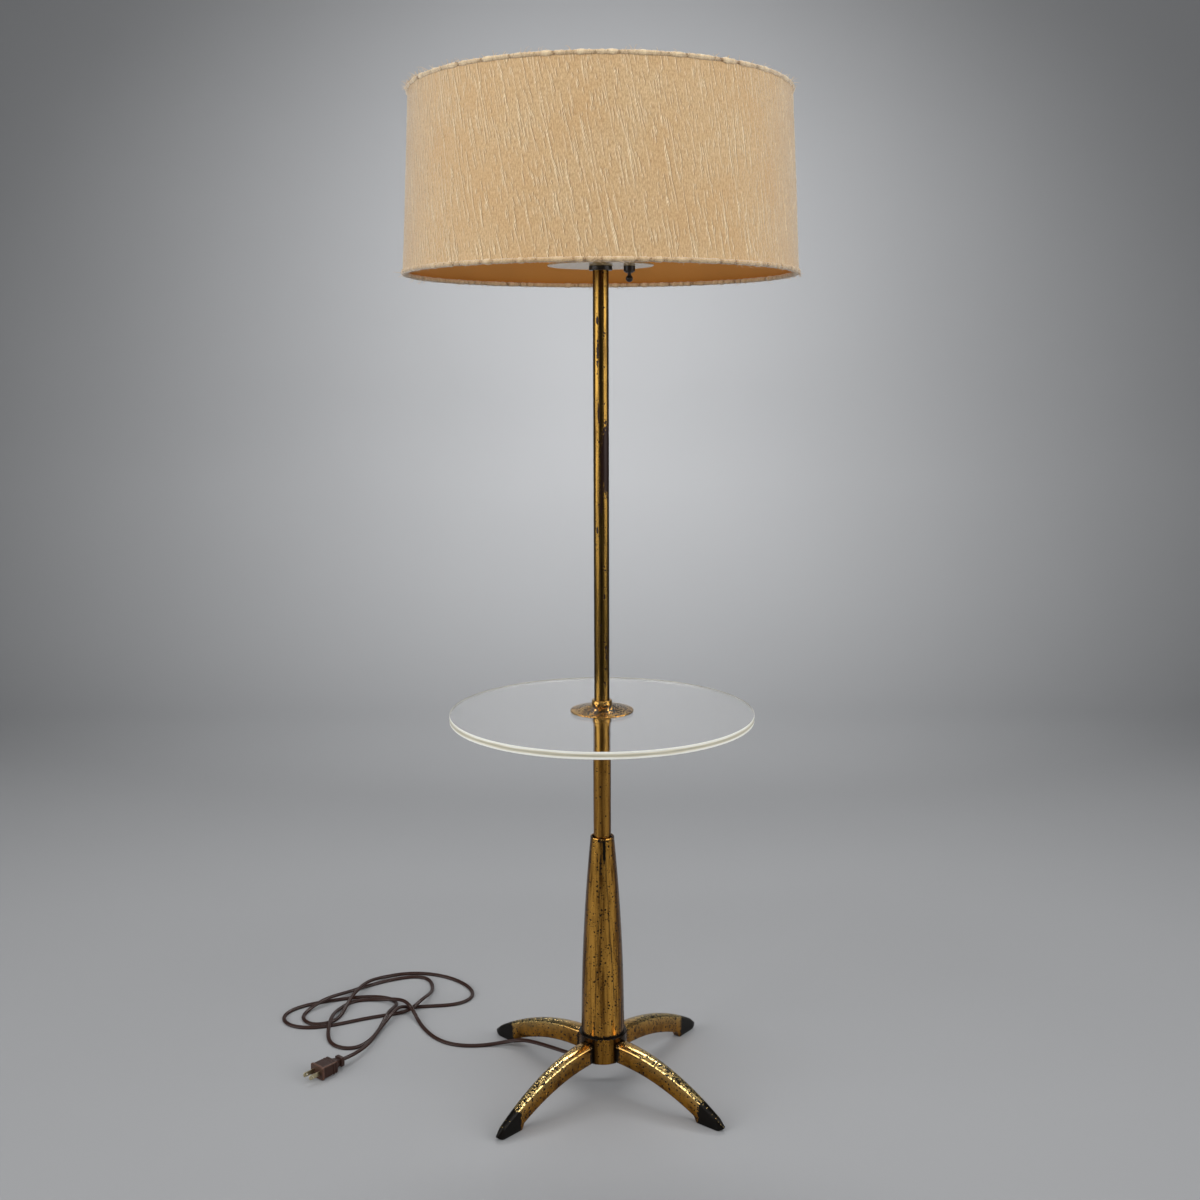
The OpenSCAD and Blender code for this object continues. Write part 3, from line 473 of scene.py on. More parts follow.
def foot_section(r):
    """Half outline of a foot at a reach r: its sideways and upward places and its crest mark."""
    top = CREST_RISE * (1 - ((r - HUB_R) / CREST_RUN) ** 2) - max(0, r - CURL_START) / 4
    arch = ARCH_RISE * (1 - ((r - HUB_R) / ARCH_RUN) ** 2)
    if r > CURL_START:
        bottom = CURL_RISE * ((r - CURL_START) / (FOOT_REACH - CURL_START)) ** 2
    elif r > HEEL_START:
        bottom = arch * max(0, HEEL_END - r) / (HEEL_END - HEEL_START)
    else:
        bottom = arch
    taper = min(1, max(0, r - TAPER_START) / (TOE_START - TAPER_START))
    half = (ROOT_WIDE - (ROOT_WIDE - TOE_WIDE) * taper) / 2
    if r > TOE_START:
        half *= math.sqrt(1 - ((r - TOE_START) / (FOOT_REACH - TOE_START + 1)) ** 2)
    crown = min(5, 0.6 * (top - bottom))
    edge = min(1.2, half / 4)
    outline = [(0, bottom, 0), (half * 0.5, bottom, 0), (half - edge, bottom, 0),
               (half - 0.3 * edge, bottom + 0.3 * edge, 0), (half, bottom + edge, 0)]
    low, high = bottom + edge, top - crown
    outline += [(half, low + (high - low) * k / 3, 0.12 * (k == 2)) for k in (1, 2)]
    for turn in np.linspace(0, math.pi / 2, 9):
        outline.append((half * math.cos(turn), high + crown * math.sin(turn),
                        0.35 + 0.65 * min(1, math.sin(turn) * 2)))
    return outline


def make_feet(material):
    """Four cast feet: arched, crowned on top, tapering to a rounded toe, coped to the drum."""
    toe_way = (FOOT_REACH - TOE_START) * np.sin(np.linspace(0, math.pi / 2, 9))
    reaches = np.concatenate([[HUB_R, 36.5], np.linspace(40, HEEL_START, 44),
                              [(HEEL_START + HEEL_END) / 2, HEEL_END], np.linspace(173, 198, 9),
                              TOE_START + toe_way])
    rings, crest, toe = [], [], []
    for i, r in enumerate(reaches):
        half = foot_section(r)
        outline = [(-y, z, c) for y, z, c in half[:0:-1]] + half[:-1]
        ring = []
        for y, z, c in outline[::-1]:
            x = math.sqrt(HUB_R ** 2 - y * y) if i == 0 else r
            ring.append((x, y, z))
            # The crest is rubbed bright, less so near the drum. The toe is black over its pad. The
            # root at the drum is darkened too, less along the crest, as painted shade in the corner
            # where the foot meets the drum.
            crest.append(c * min(1, max(0.3, (r - 36) / 55)))
            toe.append(min(1, max(0, (r - 165) / 14, (46 - r) / 14)) * (1 - 0.36 * c))
        rings.append(ring)
    for name, turn in zip(("leg_back_right", "leg_back_left", "leg_front_left",
                           "leg_front_right"), FOOT_TURNS):
        a = math.radians(turn)
        spin = np.array([[math.cos(a), -math.sin(a), 0], [math.sin(a), math.cos(a), 0], [0, 0, 1]])
        points, faces = loft(np.array(rings) @ spin.T)
        add_piece(name.replace("leg", "foot"), points, faces, "root", material,
                  [name], {"crest": crest, "toe": toe})


make_feet(aged_brass("aged_brass_feet", gold="#AC782B", brown="#5E3911", roughness=0.15,
                     pits=((4.8, 1.6, 0.42), (2.7, 0.9, 0.4)), marked=True))


# ---------------------------------------------------------------- shade

SHADE_Z, SHADE_H = 1109.0, 226.0
MEAN_R = 246  # the cloth's mean radius, which makes lengths along the weave of angles
CLOTH_INSET = 1.4  # how far cloth and lining end inside the shade's height
YARNS, YARN_STEP = 1200, 1.4
SLUBS = 4200


def cloth_r(z):
    """Outer radius of the cloth at a height."""
    return 251.8 - 12 * (z - SHADE_Z) / SHADE_H


def lean_of(angle):
    """How far the yarns lean, as sideways way over height. They lean most at the left."""
    return 0.16 + 0.07 * np.cos(angle - math.radians(215))


def shade_relief(arc, z, angle):
    """Height of the cloth's relief in mm, how much slub yarn shows, and how much painted shadow
    lies beside each slub, at each point; the slub mark is partly paler yarn and partly a painted
    highlight. The cloth is a plain weave whose upright yarns are thick and thin, with knots and
    slubs."""
    rows, columns = z.shape
    lean = lean_of(angle)
    middle = SHADE_Z + SHADE_H / 2
    upright = arc + lean * (z - middle)
    yarn = RANDOM.normal(size=YARNS)
    place = (upright / YARN_STEP) % YARNS
    low = np.floor(place).astype(int) % YARNS
    share = place - np.floor(place)
    ribs = yarn[low] * (1 - share) + yarn[(low + 1) % YARNS] * share
    height = 0.06 * ribs
    slub, painted_shadow = np.zeros_like(z), np.zeros_like(z)
    step_z = z[1, 0] - z[0, 0]
    step_arc = arc[0, 1] - arc[0, 0]
    for _ in range(SLUBS):
        slub_z = RANDOM.uniform(z[0, 0], z[-1, 0])
        slub_arc = RANDOM.uniform(0, arc[0, -1])
        long = RANDOM.choice([8, 16, 36, 80], p=[0.46, 0.38, 0.13, 0.03])
        long *= RANDOM.uniform(0.6, 1.3)
        wide = RANDOM.uniform(0.3, 0.44)
        tall = RANDOM.uniform(0.18, 0.52)
        tilt = lean_of(slub_arc / MEAN_R + math.pi / 2) + RANDOM.normal() * 0.03
        first = max(0, int((slub_z - long / 2 - z[0, 0]) / step_z))
        last = min(rows - 1, int((slub_z + long / 2 - z[0, 0]) / step_z) + 1)
        wave = RANDOM.uniform(0, 6.28)
        for row in range(first, last + 1):
            row_z = z[row, 0]
            ends = math.sqrt(max(0.0, 1 - ((row_z - slub_z) / (long / 2)) ** 2))
            centre = slub_arc - tilt * (row_z - slub_z) + 0.3 * math.sin(row_z / 4.5 + wave)
            start = int((centre - 3) / step_arc)
            span = np.arange(max(0, start), min(columns, start + int(7 / step_arc) + 2))
            if len(span) == 0:
                continue
            off = arc[row, span] - centre
            bump = ends * np.exp(-(off / wide) ** 2)
            height[row, span] += tall * bump
            # Taller slubs are painted paler, partly as paler yarn and partly as a painted
            # highlight, and a strip on each slub's right is painted darker as its painted shadow.
            slub[row, span] = np.maximum(slub[row, span], bump * (0.4 + tall))
            side = ends * np.exp(-((off - wide - 0.5) / 0.45) ** 2) * tall * 2.6
            painted_shadow[row, span] = np.maximum(painted_shadow[row, span], side)
    return height, slub, painted_shadow


def make_shade_cloth(material):
    """Slub-weave cloth glued round a stiff lining, its ends lapped at the back."""
    low, high = SHADE_Z + CLOTH_INSET, SHADE_Z + SHADE_H - CLOTH_INSET
    rows, columns = 113, 1850
    lap = 9 / MEAN_R
    angle = np.linspace(math.pi / 2, 2.5 * math.pi + lap, columns)
    heights = np.linspace(low, high, rows)
    angles, z = np.meshgrid(angle, heights)
    arc = (angles - math.pi / 2) * MEAN_R
    height, slub, painted_shadow = shade_relief(arc, z, angles)
    lapped = 0.8 * np.clip((angles - 2.5 * math.pi) / lap * 6, 0, 1)
    sag = 0.5 * np.sin(3 * angles + 1) * np.sin((z - low) / (high - low) * math.pi)
    outer = cloth_r(z) + height + lapped + sag - 0.1
    inner = cloth_r(heights[[0, -1]])[:, None] - 0.75 + lapped[[0, -1]]
    shell = [np.stack([outer * np.cos(angles), outer * np.sin(angles), z], -1),
             np.stack([inner * np.cos(angle), inner * np.sin(angle),
                       np.repeat(heights[[0, -1], None], columns, 1)], -1)]
    points = np.vstack([part.reshape(-1, 3) for part in shell])
    faces = grid_faces(rows, columns, closed=False)
    n = rows * columns
    for c in range(columns - 1):
        faces.append([n + c + 1, n + c, n + columns + c, n + columns + c + 1])
        faces.append([c + 1, c, n + c, n + c + 1])
        top = (rows - 1) * columns
        faces.append([top + c, top + c + 1, n + columns + c + 1, n + columns + c])
    for c, flip in ((0, 1), (columns - 1, -1)):
        face = [r * columns + c for r in range(rows)] + [n + columns + c, n + c]
        faces.append(face[::flip])
    weave = np.stack([np.concatenate([arc.ravel(), np.tile(arc[0], 2)]),
                      np.concatenate([z.ravel(), np.repeat(heights[[0, -1]], columns)]),
                      np.zeros(len(points))], -1)
    slub, painted_shadow = (np.concatenate([v.ravel(), np.zeros(2 * columns)]) for v in (slub, painted_shadow))
    return add_piece("shade_cloth", points, faces, "shade", material,
                     ["shade_cover"], {"weave": weave, "slub": slub, "painted_shadow": painted_shadow})


def make_shade_lining(material):
    """The stiff, smooth inner side of the shade."""
    low, high = SHADE_Z + CLOTH_INSET, SHADE_Z + SHADE_H - CLOTH_INSET
    columns = 360
    angle = np.arange(columns) * 2 * math.pi / columns
    rings = []
    middle = (low + high) / 2
    for depth, order in ((0.87, (low, middle, high)), (1.37, (high, middle, low))):
        for z in order:
            r = cloth_r(z) - depth
            rings.append(np.stack([r * np.cos(angle), r * np.sin(angle), np.full(columns, z)], -1))
    rings.append(rings[0])
    points = np.vstack(rings[:-1])
    faces = grid_faces(6, columns)
    faces += [[5 * columns + c, 5 * columns + (c + 1) % columns, (c + 1) % columns, c]
              for c in range(columns)]
    return add_piece("shade_inside", points, faces, "shade", material,
                     ["shade_lining"])


def ripple(angle, across, size, waves):
    """A smooth random ripple round the shade. waves is the range of waves in the whole turn."""
    total = np.zeros(np.broadcast(angle, across).shape)
    for _ in range(14):
        around = int(RANDOM.integers(*waves)) * angle
        total = total + np.sin(around + RANDOM.uniform(-2.5, 2.5) * across
                               + RANDOM.uniform(0, 6.28))
    return size * total / 14 ** 0.5


def make_tape(name, node, edge, fold, material):
    """A tape of the same cloth, folded over the shade's edge and its wire, and puckered. fold is
    1 at the lower edge and -1 at the upper one."""
    columns, sides = 1500, 20
    angle = np.arange(columns)[:, None] * 2 * math.pi / columns
    turn = np.arange(sides)[None] * 2 * math.pi / sides
    pucker = ripple(angle, turn, 0.2, (150, 700)) + ripple(angle, 0 * turn, 0.34, (9, 160))
    half_w = 4.0 + pucker
    half_h = 2.85 + pucker
    middle_z = edge + fold * 2.95
    r = cloth_r(middle_z) - 1.85 + half_w * np.sign(np.cos(turn)) * abs(np.cos(turn)) ** 0.8
    z = middle_z + half_h * np.sign(np.sin(turn)) * abs(np.sin(turn)) ** 0.8
    points = np.stack([r * np.cos(angle), r * np.sin(angle), z], -1).reshape(-1, 3)
    last = (columns - 1) * sides
    faces = grid_faces(columns, sides)
    faces += [[last + s, last + (s + 1) % sides, (s + 1) % sides, s] for s in range(sides)]
    weave = np.stack([np.broadcast_to(angle * MEAN_R, r.shape),
                      np.broadcast_to(turn * 3.4, r.shape), np.zeros(r.shape)],
                     -1).reshape(-1, 3)
    # Raised puckers are painted paler, more on the top tape, as painted highlight, and their
    # hollows darker as painted shade.
    slub = (np.clip(pucker * 1.2 + 0.1, 0, 0.8) * (0.75 if fold < 0 else 0.35)).ravel()
    painted_shadow = np.clip(-pucker * 2.2 - 0.5, 0, 0.8).ravel()
    return add_piece(name, points, faces, "shade", material, [node],
                     {"weave": weave, "slub": slub, "painted_shadow": painted_shadow})


def make_frays(name, edge, fold, count, material):
    """Loose ends of yarn that stand out of a tape."""
    shells = []
    for _ in range(count):
        angle = RANDOM.uniform(0, 2 * math.pi)
        if fold < 0 and RANDOM.random() < 0.4:
            angle = RANDOM.normal(math.radians(205), 0.35)
        length = RANDOM.uniform(3, 10)
        out = RANDOM.uniform(0.1, 1.0)
        start = np.array([cloth_r(edge) + 1.6 * out, 0, edge + fold * RANDOM.uniform(0.3, 3)])
        way = np.array([out * 0.8, RANDOM.uniform(-1, 1), -fold * RANDOM.uniform(0.0, 0.7)])
        way /= np.linalg.norm(way)
        bend = RANDOM.normal(size=3) * 0.5
        t = np.linspace(0, 1, 7)[:, None]
        path = start + way * t * length + bend * t ** 2 * length * 0.5
        path[:, 2] = np.clip(path[:, 2], SHADE_Z - 3, SHADE_Z + SHADE_H + 3)
        spin = np.array([[math.cos(angle), -math.sin(angle), 0],
                         [math.sin(angle), math.cos(angle), 0], [0, 0, 1]])
        shells.append(thread(path @ spin.T, RANDOM.uniform(0.2, 0.42)))
    points, faces = join_shells(shells)
    return add_piece(name, points, faces, "shade", material)


def slub_cloth(name, base, light, stained):
    """Rough raw silk or jute slub on a plain weave, yellowed with age, with brown flecks and
    stains. Slubs are painted paler, partly as paler yarn and partly as a painted highlight, and
    painted shadow darkens the strip beside each slub and the hollows of the tape's puckers."""
    material, tree, shader, _, place = new_material(name)
    weave = add_node(tree, "Attribute", attribute_name="weave").outputs["Vector"]
    slub = add_node(tree, "Attribute", attribute_name="slub").outputs["Fac"]
    painted_shadow = add_node(tree, "Attribute", attribute_name="painted_shadow").outputs["Fac"]
    # Upright yarns are 1.7 mm apart, the weft 2.4 mm, and knots 1.3 mm wide and 3.8 mm tall.
    upright = add_node(tree, "Mapping", {"Vector": weave, "Scale": (0.6, 0.1, 1),
                                         "Rotation": (0, 0, math.radians(-9))}).outputs[0]
    warp = add_node(tree, "TexNoise", {"Vector": upright, "Scale": 1, "Detail": 3}).outputs[0]
    level = add_node(tree, "Mapping", {"Vector": weave, "Scale": (0.12, 0.42, 1)}).outputs[0]
    weft = add_node(tree, "TexNoise", {"Vector": level, "Scale": 1, "Detail": 3}).outputs[0]
    knots = add_node(tree, "Mapping", {"Vector": weave, "Scale": (0.8, 0.26, 1)}).outputs[0]
    fuzz = add_node(tree, "TexNoise", {"Vector": knots, "Scale": 1, "Detail": 2,
                                       "Roughness": 0.6}).outputs[0]
    slow = add_node(tree, "TexNoise", {"Vector": place, "Scale": 1 / 60, "Detail": 3}).outputs[0]
    grain = add_node(tree, "Math", {0: fuzz, 1: 2.0, 2: warp}, operation="MULTIPLY_ADD").outputs[0]
    tone = add_node(tree, "MapRange", {"Value": grain, "From Min": 0.95,
                                       "From Max": 2.05}).outputs[0]
    ground = add_node(tree, "Mix", {0: tone, 6: linear(base), 7: linear(light)}, data_type="RGBA")
    age = add_node(tree, "MapRange", {"Value": slow, "From Min": 0.35, "From Max": 0.75,
                                      "To Max": 0.35}).outputs[0]
    aged = add_node(tree, "Mix", {0: age, 6: ground.outputs[2], 7: linear("#C4955C")},
                    data_type="RGBA")
    # Painted shadow beside each slub and in the tape's pucker hollows, then slubs painted paler,
    # partly paler yarn and partly painted highlight.
    shaded = add_node(tree, "Mix", {0: painted_shadow, 6: aged.outputs[2], 7: linear("#7A5428")},
                      data_type="RGBA", clamp_factor=True)
    pale = add_node(tree, "Math", {0: slub, 1: 1.55}, operation="MULTIPLY", use_clamp=True)
    raised = add_node(tree, "Mix", {0: pale.outputs[0], 6: shaded.outputs[2], 7: linear("#F0D9B2")},
                      data_type="RGBA")
    cell = add_node(tree, "TexVoronoi", {"Vector": weave, "Scale": 1 / (9 if stained else 6)})
    chance = add_node(tree, "SeparateColor", {"Color": cell.outputs["Color"]}).outputs[0]
    radius = add_node(tree, "MapRange", {"Value": chance, "From Min": 0.7,
                                         "To Max": 0.12 if stained else 0.1}).outputs[0]
    spot = add_node(tree, "Math", {0: radius, 1: cell.outputs["Distance"]}, operation="SUBTRACT")
    fleck = add_node(tree, "MapRange", {"Value": spot.outputs[0], "From Max": 0.05, "To Max": 0.8})
    colour = add_node(tree, "Mix", {0: fleck.outputs[0], 6: raised.outputs[2],
                                    7: linear("#5A3A1C")}, data_type="RGBA")
    height = add_node(tree, "Math", {0: warp, 1: weft}, operation="ADD").outputs[0]
    height = add_node(tree, "Math", {0: fuzz, 1: 2.0, 2: height},
                      operation="MULTIPLY_ADD").outputs[0]
    bump = add_node(tree, "Bump", {"Height": height, "Strength": 0.8, "Distance": 0.6 * MM})
    plug_in(tree, shader, Base_Color=colour.outputs[2], Roughness=0.85, Normal=bump.outputs[0],
            Sheen_Weight=0.9, Sheen_Roughness=0.4, Specular_IOR_Level=0.3)
    return material


def amber_lining():
    """Smooth laminated paper, gone amber with the bulbs' heat, uneven in broad clouds."""
    return plain_material("amber_lining", "#DC9846", 0.5, grain=12, shift=0.15, depth=0.1)


cloth = slub_cloth("slub_cloth", "#AE8B60", "#E2C498", stained=False)
# The top tape's cloth is paler than the bottom tape's, a lit copy as painted light from above; the
# bottom tape's bigger flecks are stains.
pale_tape = slub_cloth("top_tape_cloth", "#C4A67C", "#EAD6B6", stained=False)
tape = slub_cloth("bottom_tape_cloth", "#AE8E64", "#DDC29C", stained=True)
shade_cloth = make_shade_cloth(cloth)
shade_inside = make_shade_lining(amber_lining())
top_tape = make_tape("top_tape", "top_trim", SHADE_Z + SHADE_H, -1, pale_tape)
bottom_tape = make_tape("bottom_tape", "bottom_trim", SHADE_Z, 1, tape)
top_frays = make_frays("top_frays", SHADE_Z + SHADE_H, -1, 240, pale_tape)
bottom_frays = make_frays("bottom_frays", SHADE_Z, 1, 150, tape)


# ---------------------------------------------------------------- finishes of the CAD nodes

# Bands round the column, the tubes and the drum's four panels, as (degrees from the front,
# darkness): painted reflection, and on the drum also painted shade in the corners where the
# feet meet it.
COLUMN_REFLECTION_BANDS = ((-180, 0.3), (-152, 0.8), (-135, 0.15), (-112, 0.05), (-92, 0.7), (-66, 0.55),
                (-52, 0.12), (-30, 0), (-15, 0.08), (-7, 0.28), (3, 0.22), (12, 0.05), (25, 0),
                (40, 0.1), (52, 0.45), (75, 0.6), (96, 0.8), (116, 0.1), (142, 0), (162, 0.7),
                (180, 0.3))
TUBE_REFLECTION_BANDS = ((-180, 0.4), (-125, 0.05), (-90, 0.7), (-62, 0.35), (-38, 0), (-14, 0.1), (-2, 0.5),
              (8, 0.25), (26, 0), (44, 0.05), (62, 0.5), (90, 0.75), (135, 0.1), (180, 0.4))
PANEL_SHADE_AND_REFLECTION_BANDS = [(turn + off, dark) for turn in (-176, -86, 4, 94) for off, dark in (
    (-26, 1), (-22, 0.45), (-8, 0.05), (6, 0), (16, 0.3), (22, 0.5), (26, 1)) if turn + off > -180]

# On the column the bands and the dark lines are painted reflections.
assign(aged_brass("aged_brass_column", gold="#DDA44A", brown="#7E5624", roughness=0.18,
                  bands=COLUMN_REFLECTION_BANDS,
                  lines=((-23, -6, 1.5, 0.85), (38, 10, 1.8, 0.85), (-66, -60, 3, 0.35)),
                  # The ring round the column's foot, the last of these patches, is painted shade in
                  # the crease on the drum.
                  tarnish_and_painted_light=[((2.5, -16, 340), (3.6, 6, 40), 0), ((-3, -17, 322), (1.4, 8, 30), 3),
                         ((0, 0, COLUMN_FOOT_Z), (60, 60, 8), 0)],
                  flakes=[((0, 0, COLUMN_FOOT_Z), (34, 34, 7), 0),
                          ((0, -17, COLUMN_TOP_Z - 2), (19, 10, 5), 0)]), "column")
# On the drum the bands paint shade into the corners where the feet meet it, with painted reflection
# between.
assign(aged_brass("aged_brass_hub", gold="#AE7C33", brown="#5E3F18", bands=PANEL_SHADE_AND_REFLECTION_BANDS,
                  # This ring on the drum's ledge round the column is painted shade in the crease.
                  tarnish_and_painted_light=[((0, 0, 77.5), (90, 90, 4), 0)]), "hub")
# On both tubes the bands are painted reflection.
assign(aged_brass("aged_brass_tube", film="#23130E", gold="#987638", brown="#56401E",
                  pits=((6, 1.5, 0.35), (3.4, 0.8, 0.25)), bands=TUBE_REFLECTION_BANDS,
                  # The thin patch down the front at 845 mm high is a painted reflection; the others
                  # are tarnish.
                  tarnish_and_painted_light=[((7.4, -7.2, 876), (14, 14, 74), 0), ((0.5, -10, 845), (1.8, 3, 66), 0),
                         ((-4.5, -9, 1053), (2.4, 4, 8), 0), ((0, -10, 810), (2.2, 4, 9), 0),
                         ((-5.3, -8.6, 782), (2.2, 4, 7), 0), ((3.4, -9.6, 694), (2.2, 4, 6), 0),
                         ((-3, -9.5, 935), (1.8, 3, 18), 0)],
                  flakes=[((0, 0, 1108), (14, 14, 16), 0), ((-4, -9, 1010), (3, 5, 40), 0),
                          ((6, -8, 620), (3.4, 5, 34), 0)]), "upper_tube")
assign(aged_brass("aged_brass_tube_low", gold="#BC8B40", roughness=0.27,
                  pits=((6, 1.4, 0.3), (3.4, 0.8, 0.2)), bands=TUBE_REFLECTION_BANDS,
                  flakes=[((0, 0, COLUMN_TOP_Z + 3), (16, 16, 8), 0)]), "lower_tube")
assign(aged_brass("aged_brass_flange", gold="#E0B05E", brown="#A0702F", roughness=0.17,
                  pits=((4, 1.4, 0.45), (2.2, 0.8, 0.45)),
                  flakes=[((0, 0, 540), (80, 80, 16), 0)]), "table_flange", "finial")
# Turned brass, bare and dulled: an even gold with the finest grain of all.
assign(plain_material("turned_brass", "#C9A55A", 0.25, 1.0, grain=0.8), "column_collar",
       "lower_plug", "upper_plug", "shade_stud", "holder_rivets", "screw_shells")
# Rolled brass strip under thin nickel, scuffed by sockets: pale, cloudy reflections.
assign(plain_material("rolled_blades", "#C8BC98", 0.3, 1.0, grain=1.2, shift=0.25), "plug_blades")
# Steel with bright zinc plate: cool grey, with soft reflections.
assign(plain_material("zinc_plate", "#A9A9A4", 0.35, 1.0, grain=1.0), "leg_screws", "centre_pipe",
       "base_washer", "base_nut", "plate_washer", "plate_nut", "hickey", "riser_pipe",
       "shade_spider", "bottom_ring")
# Phenolic, moulded in polished dies: nearly black, with a clear but soft highlight.
assign(plain_material("black_phenolic", "#17140F", 0.32, grain=1.2, IOR=1.6), "pole_cap",
       "switch_body", "switch_nut", "switch_knob", "pipe_bushing", "lampholder_1",
       "lampholder_2", "lampholder_3")
# Enamel baked on sheet steel: an even tan, which is a painted reflection of the amber lining round
# it, with a glossy highlight.
assign(plain_material("baked_enamel", "#C6A877", 0.22, grain=3, shift=0.05), "light_plate")
# Extruded rubber of the leads: brown and satin.
assign(plain_material("lead_rubber", "#3A241C", 0.45, grain=1.5), "inner_lead", "socket_leads",
       "switch_lead")
# Blown glass, frosted: an even warm white with a soft highlight.
assign(plain_material("frosted_bulb", "#F3F0E6", 0.3, grain=4, shift=0.03), "bulb_1", "bulb_2",
       "bulb_3")

TABLE_MIDDLE_Z = 531.7
TABLE_EDGE_R = 204.7


def clear_acrylic():
    """Cast acrylic sheet with a polished edge: clear through its thickness, faintly cream
    where light travels along inside it."""
    material, tree, shader, output, place = new_material("clear_acrylic")
    scuffs = add_node(tree, "TexNoise", {"Vector": place, "Scale": 1 / 40, "Detail": 4}).outputs[0]
    flat = add_node(tree, "VectorMath", {0: place, 1: (1, 1, 0)}, operation="MULTIPLY").outputs[0]
    radius = add_node(tree, "VectorMath", {0: flat}, operation="LENGTH").outputs["Value"]
    edge = add_node(tree, "MapRange", {"Value": radius, "From Min": TABLE_EDGE_R - 0.5,
                                       "From Max": TABLE_EDGE_R})
    rough = add_node(tree, "MapRange", {"Value": scuffs, "To Min": 0.0, "To Max": 0.04})
    frosted = add_node(tree, "Mix", {0: edge.outputs[0], 2: rough.outputs[0], 3: 0.3},
                       data_type="FLOAT")
    # The polished edge is painted bright along its two arrises and greyer between them: painted
    # highlights, streaked along the edge.
    axes = add_node(tree, "SeparateXYZ", {0: place}).outputs
    from_middle = add_node(tree, "Math", {0: axes[2], 1: TABLE_MIDDLE_Z},
                           operation="SUBTRACT").outputs[0]
    from_middle = add_node(tree, "Math", {0: from_middle}, operation="ABSOLUTE").outputs[0]
    around = add_node(tree, "Mapping", {"Vector": place, "Scale": (0.02, 0.02, 0.5)}).outputs[0]
    streak = add_node(tree, "TexNoise", {"Vector": around, "Scale": 1, "Detail": 3}).outputs[0]
    streaky = add_node(tree, "Math", {0: streak, 1: 3.0, 2: from_middle}, operation="MULTIPLY_ADD")
    painted_light_band = add_node(tree, "ValToRGB", {0: add_node(tree, "MapRange", {
        "Value": streaky.outputs[0], "From Min": 1, "From Max": 5.4}).outputs[0]},
        stops=[(0, "#ADA996"), (0.35, "#CFC9B4"), (0.6, "#EEE8D4"), (0.75, "#FFFFF6")])
    tint = add_node(tree, "Mix", {0: edge.outputs[0], 6: linear("#FFFFFF"), 7: painted_light_band.outputs[0]},
                    data_type="RGBA")
    clear = add_node(tree, "MapRange", {"Value": edge.outputs[0], "To Min": 1, "To Max": 0.12})
    plug_in(tree, shader, Base_Color=tint.outputs[2], Roughness=frosted.outputs[0], IOR=1.49,
            Transmission_Weight=clear.outputs[0])
    cream = add_node(tree, "VolumeAbsorption", {"Color": linear("#F2E6C4"), "Density": 3.0})
    tree.links.new(cream.outputs[0], output.inputs["Volume"])
    return material


assign(clear_acrylic(), "table_top")


# ---------------------------------------------------------------- studio

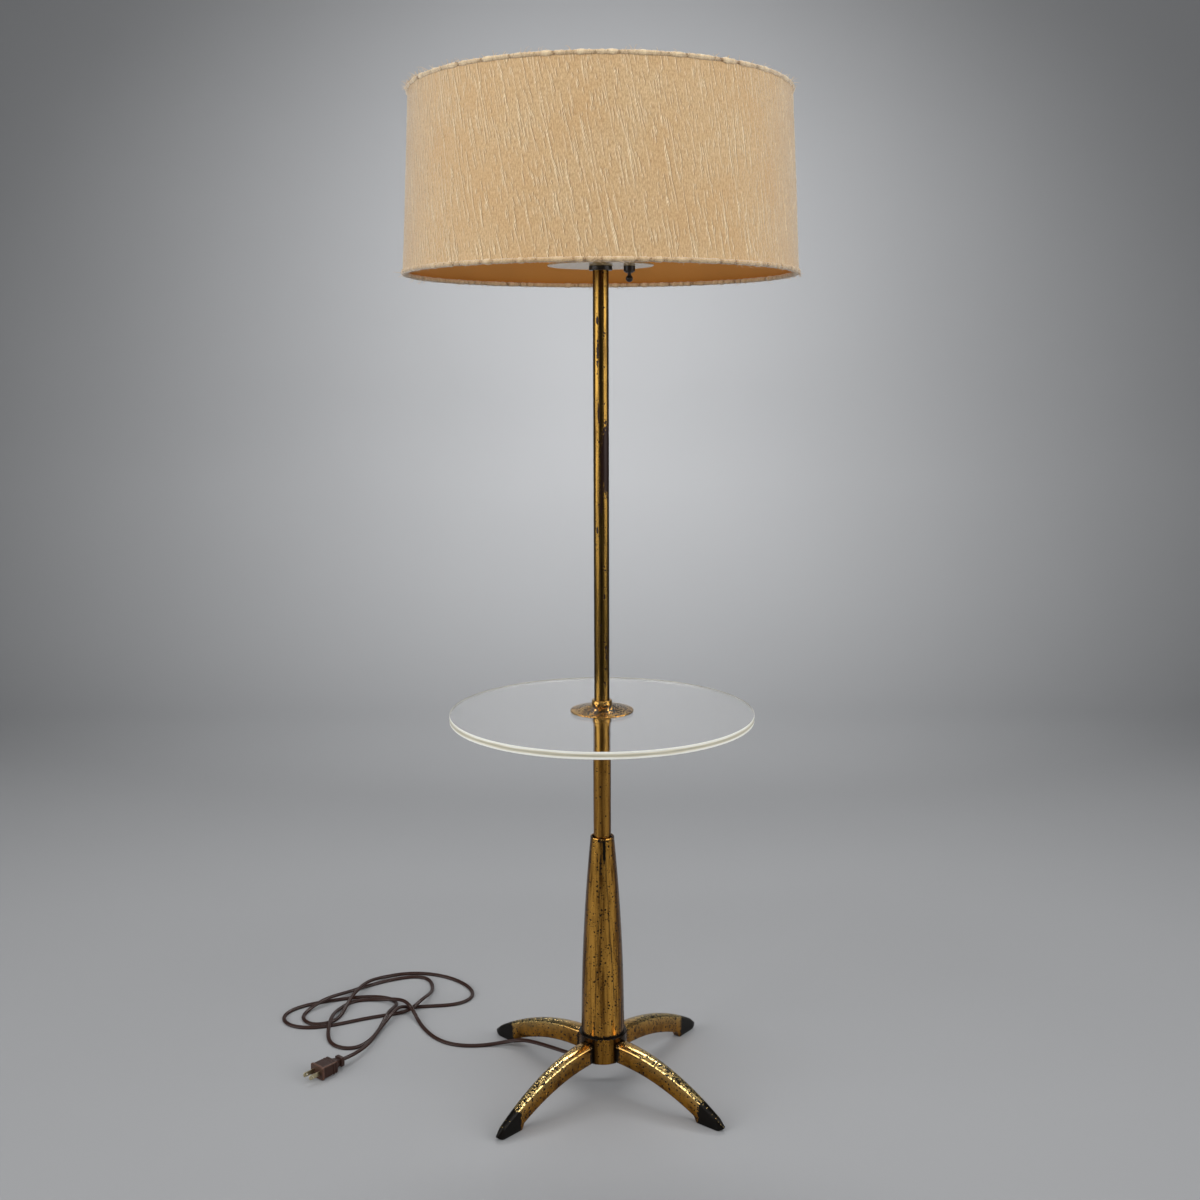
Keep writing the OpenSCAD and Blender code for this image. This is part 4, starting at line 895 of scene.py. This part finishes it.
def make_studio():
    """A pale seamless sweep, a tall soft lamp at each side, a long strip in front, one above,
    one behind for the rims, and one for the backdrop."""
    profile = [(-4200, 0)] + [(-4200 + 350 * i, 0) for i in range(1, 19)]
    profile += [(2100 + 900 * math.sin(a), 900 - 900 * math.cos(a))
                for a in np.linspace(0, math.pi / 2, 16)[1:]]
    profile += [(3000, z) for z in (1800, 2700, 3600, 4600)]
    points = [(x, y, z) for y, z in profile for x in (-3600, 3600)]
    faces = [[2 * i, 2 * i + 1, 2 * i + 3, 2 * i + 2] for i in range(len(profile) - 1)]
    mesh = bpy.data.meshes.new("sweep")
    mesh.from_pydata((np.array(points) * MM).tolist(), [], faces)
    mesh.polygons.foreach_set("use_smooth", [True] * len(faces))
    material, tree, shader, _, place = new_material("sweep_paper")
    mottle = add_node(tree, "TexNoise", {"Vector": place, "Scale": 1 / 400, "Detail": 2}).outputs[0]
    tone = add_node(tree, "Mix", {0: mottle, 6: linear("#A9AAAC"), 7: linear("#ADAEB0")},
                    data_type="RGBA")
    # The floor part is a little darker than the wall part, fading in over the lowest 600 mm.
    height = add_node(tree, "SeparateXYZ", {0: place}).outputs[2]
    floor_share = add_node(tree, "MapRange", {"Value": height, "From Max": 600, "To Min": 0.6,
                                          "To Max": 0}).outputs[0]
    floor = add_node(tree, "Mix", {0: floor_share, 6: tone.outputs[2], 7: linear("#97989A")},
                     data_type="RGBA")
    plug_in(tree, shader, Base_Color=floor.outputs[2], Roughness=0.9)
    mesh.materials.append(material)
    sweep = bpy.data.objects.new("sweep", mesh)
    scene.collection.objects.link(sweep)
    for name, place, aim, size, power, spread in (
            ("lamp_left", (-2.65, -1.15, 1.7), (0, 0.3, 0.95), (3.0, 2.8), 30.5, 100),
            ("lamp_right", (2.7, -1.05, 1.8), (0, 0.3, 0.95), (2.8, 2.8), 28.7, 100),
            ("lamp_strip", (0, -1.5, 2.3), (0, 0, 0.3), (3.4, 0.12), 16, 180),
            ("lamp_top", (0, 0.3, 3.4), (0, 0.1, 0), (2.2, 2.2), 3, 110),
            ("lamp_rim", (0, 2.2, 3.0), (0, 0, 0.1), (2.4, 0.25), 9, 90),
            ("lamp_backdrop", (0, 0.9, 2.15), (0, 3, 0.8), (0.5, 0.3), 13, 95)):
        light = bpy.data.lights.new(name, "AREA")
        light.shape = "RECTANGLE"
        light.size, light.size_y = size
        light.energy = power
        light.spread = math.radians(spread)
        lamp = bpy.data.objects.new(name, light)
        way = np.array(aim, float) - np.array(place)
        lamp.location = place
        lamp.rotation_euler = (math.acos(-way[2] / np.linalg.norm(way)), 0,
                               math.atan2(way[1], way[0]) - math.pi / 2)
        lamp.visible_camera = False
        scene.collection.objects.link(lamp)
    world = bpy.data.worlds.new("room")
    world.use_nodes = True
    world.node_tree.nodes["Background"].inputs["Color"].default_value = linear("#C8CACC")
    world.node_tree.nodes["Background"].inputs["Strength"].default_value = 0.25
    scene.world = world
    scene.view_settings.view_transform = "Standard"


make_studio()
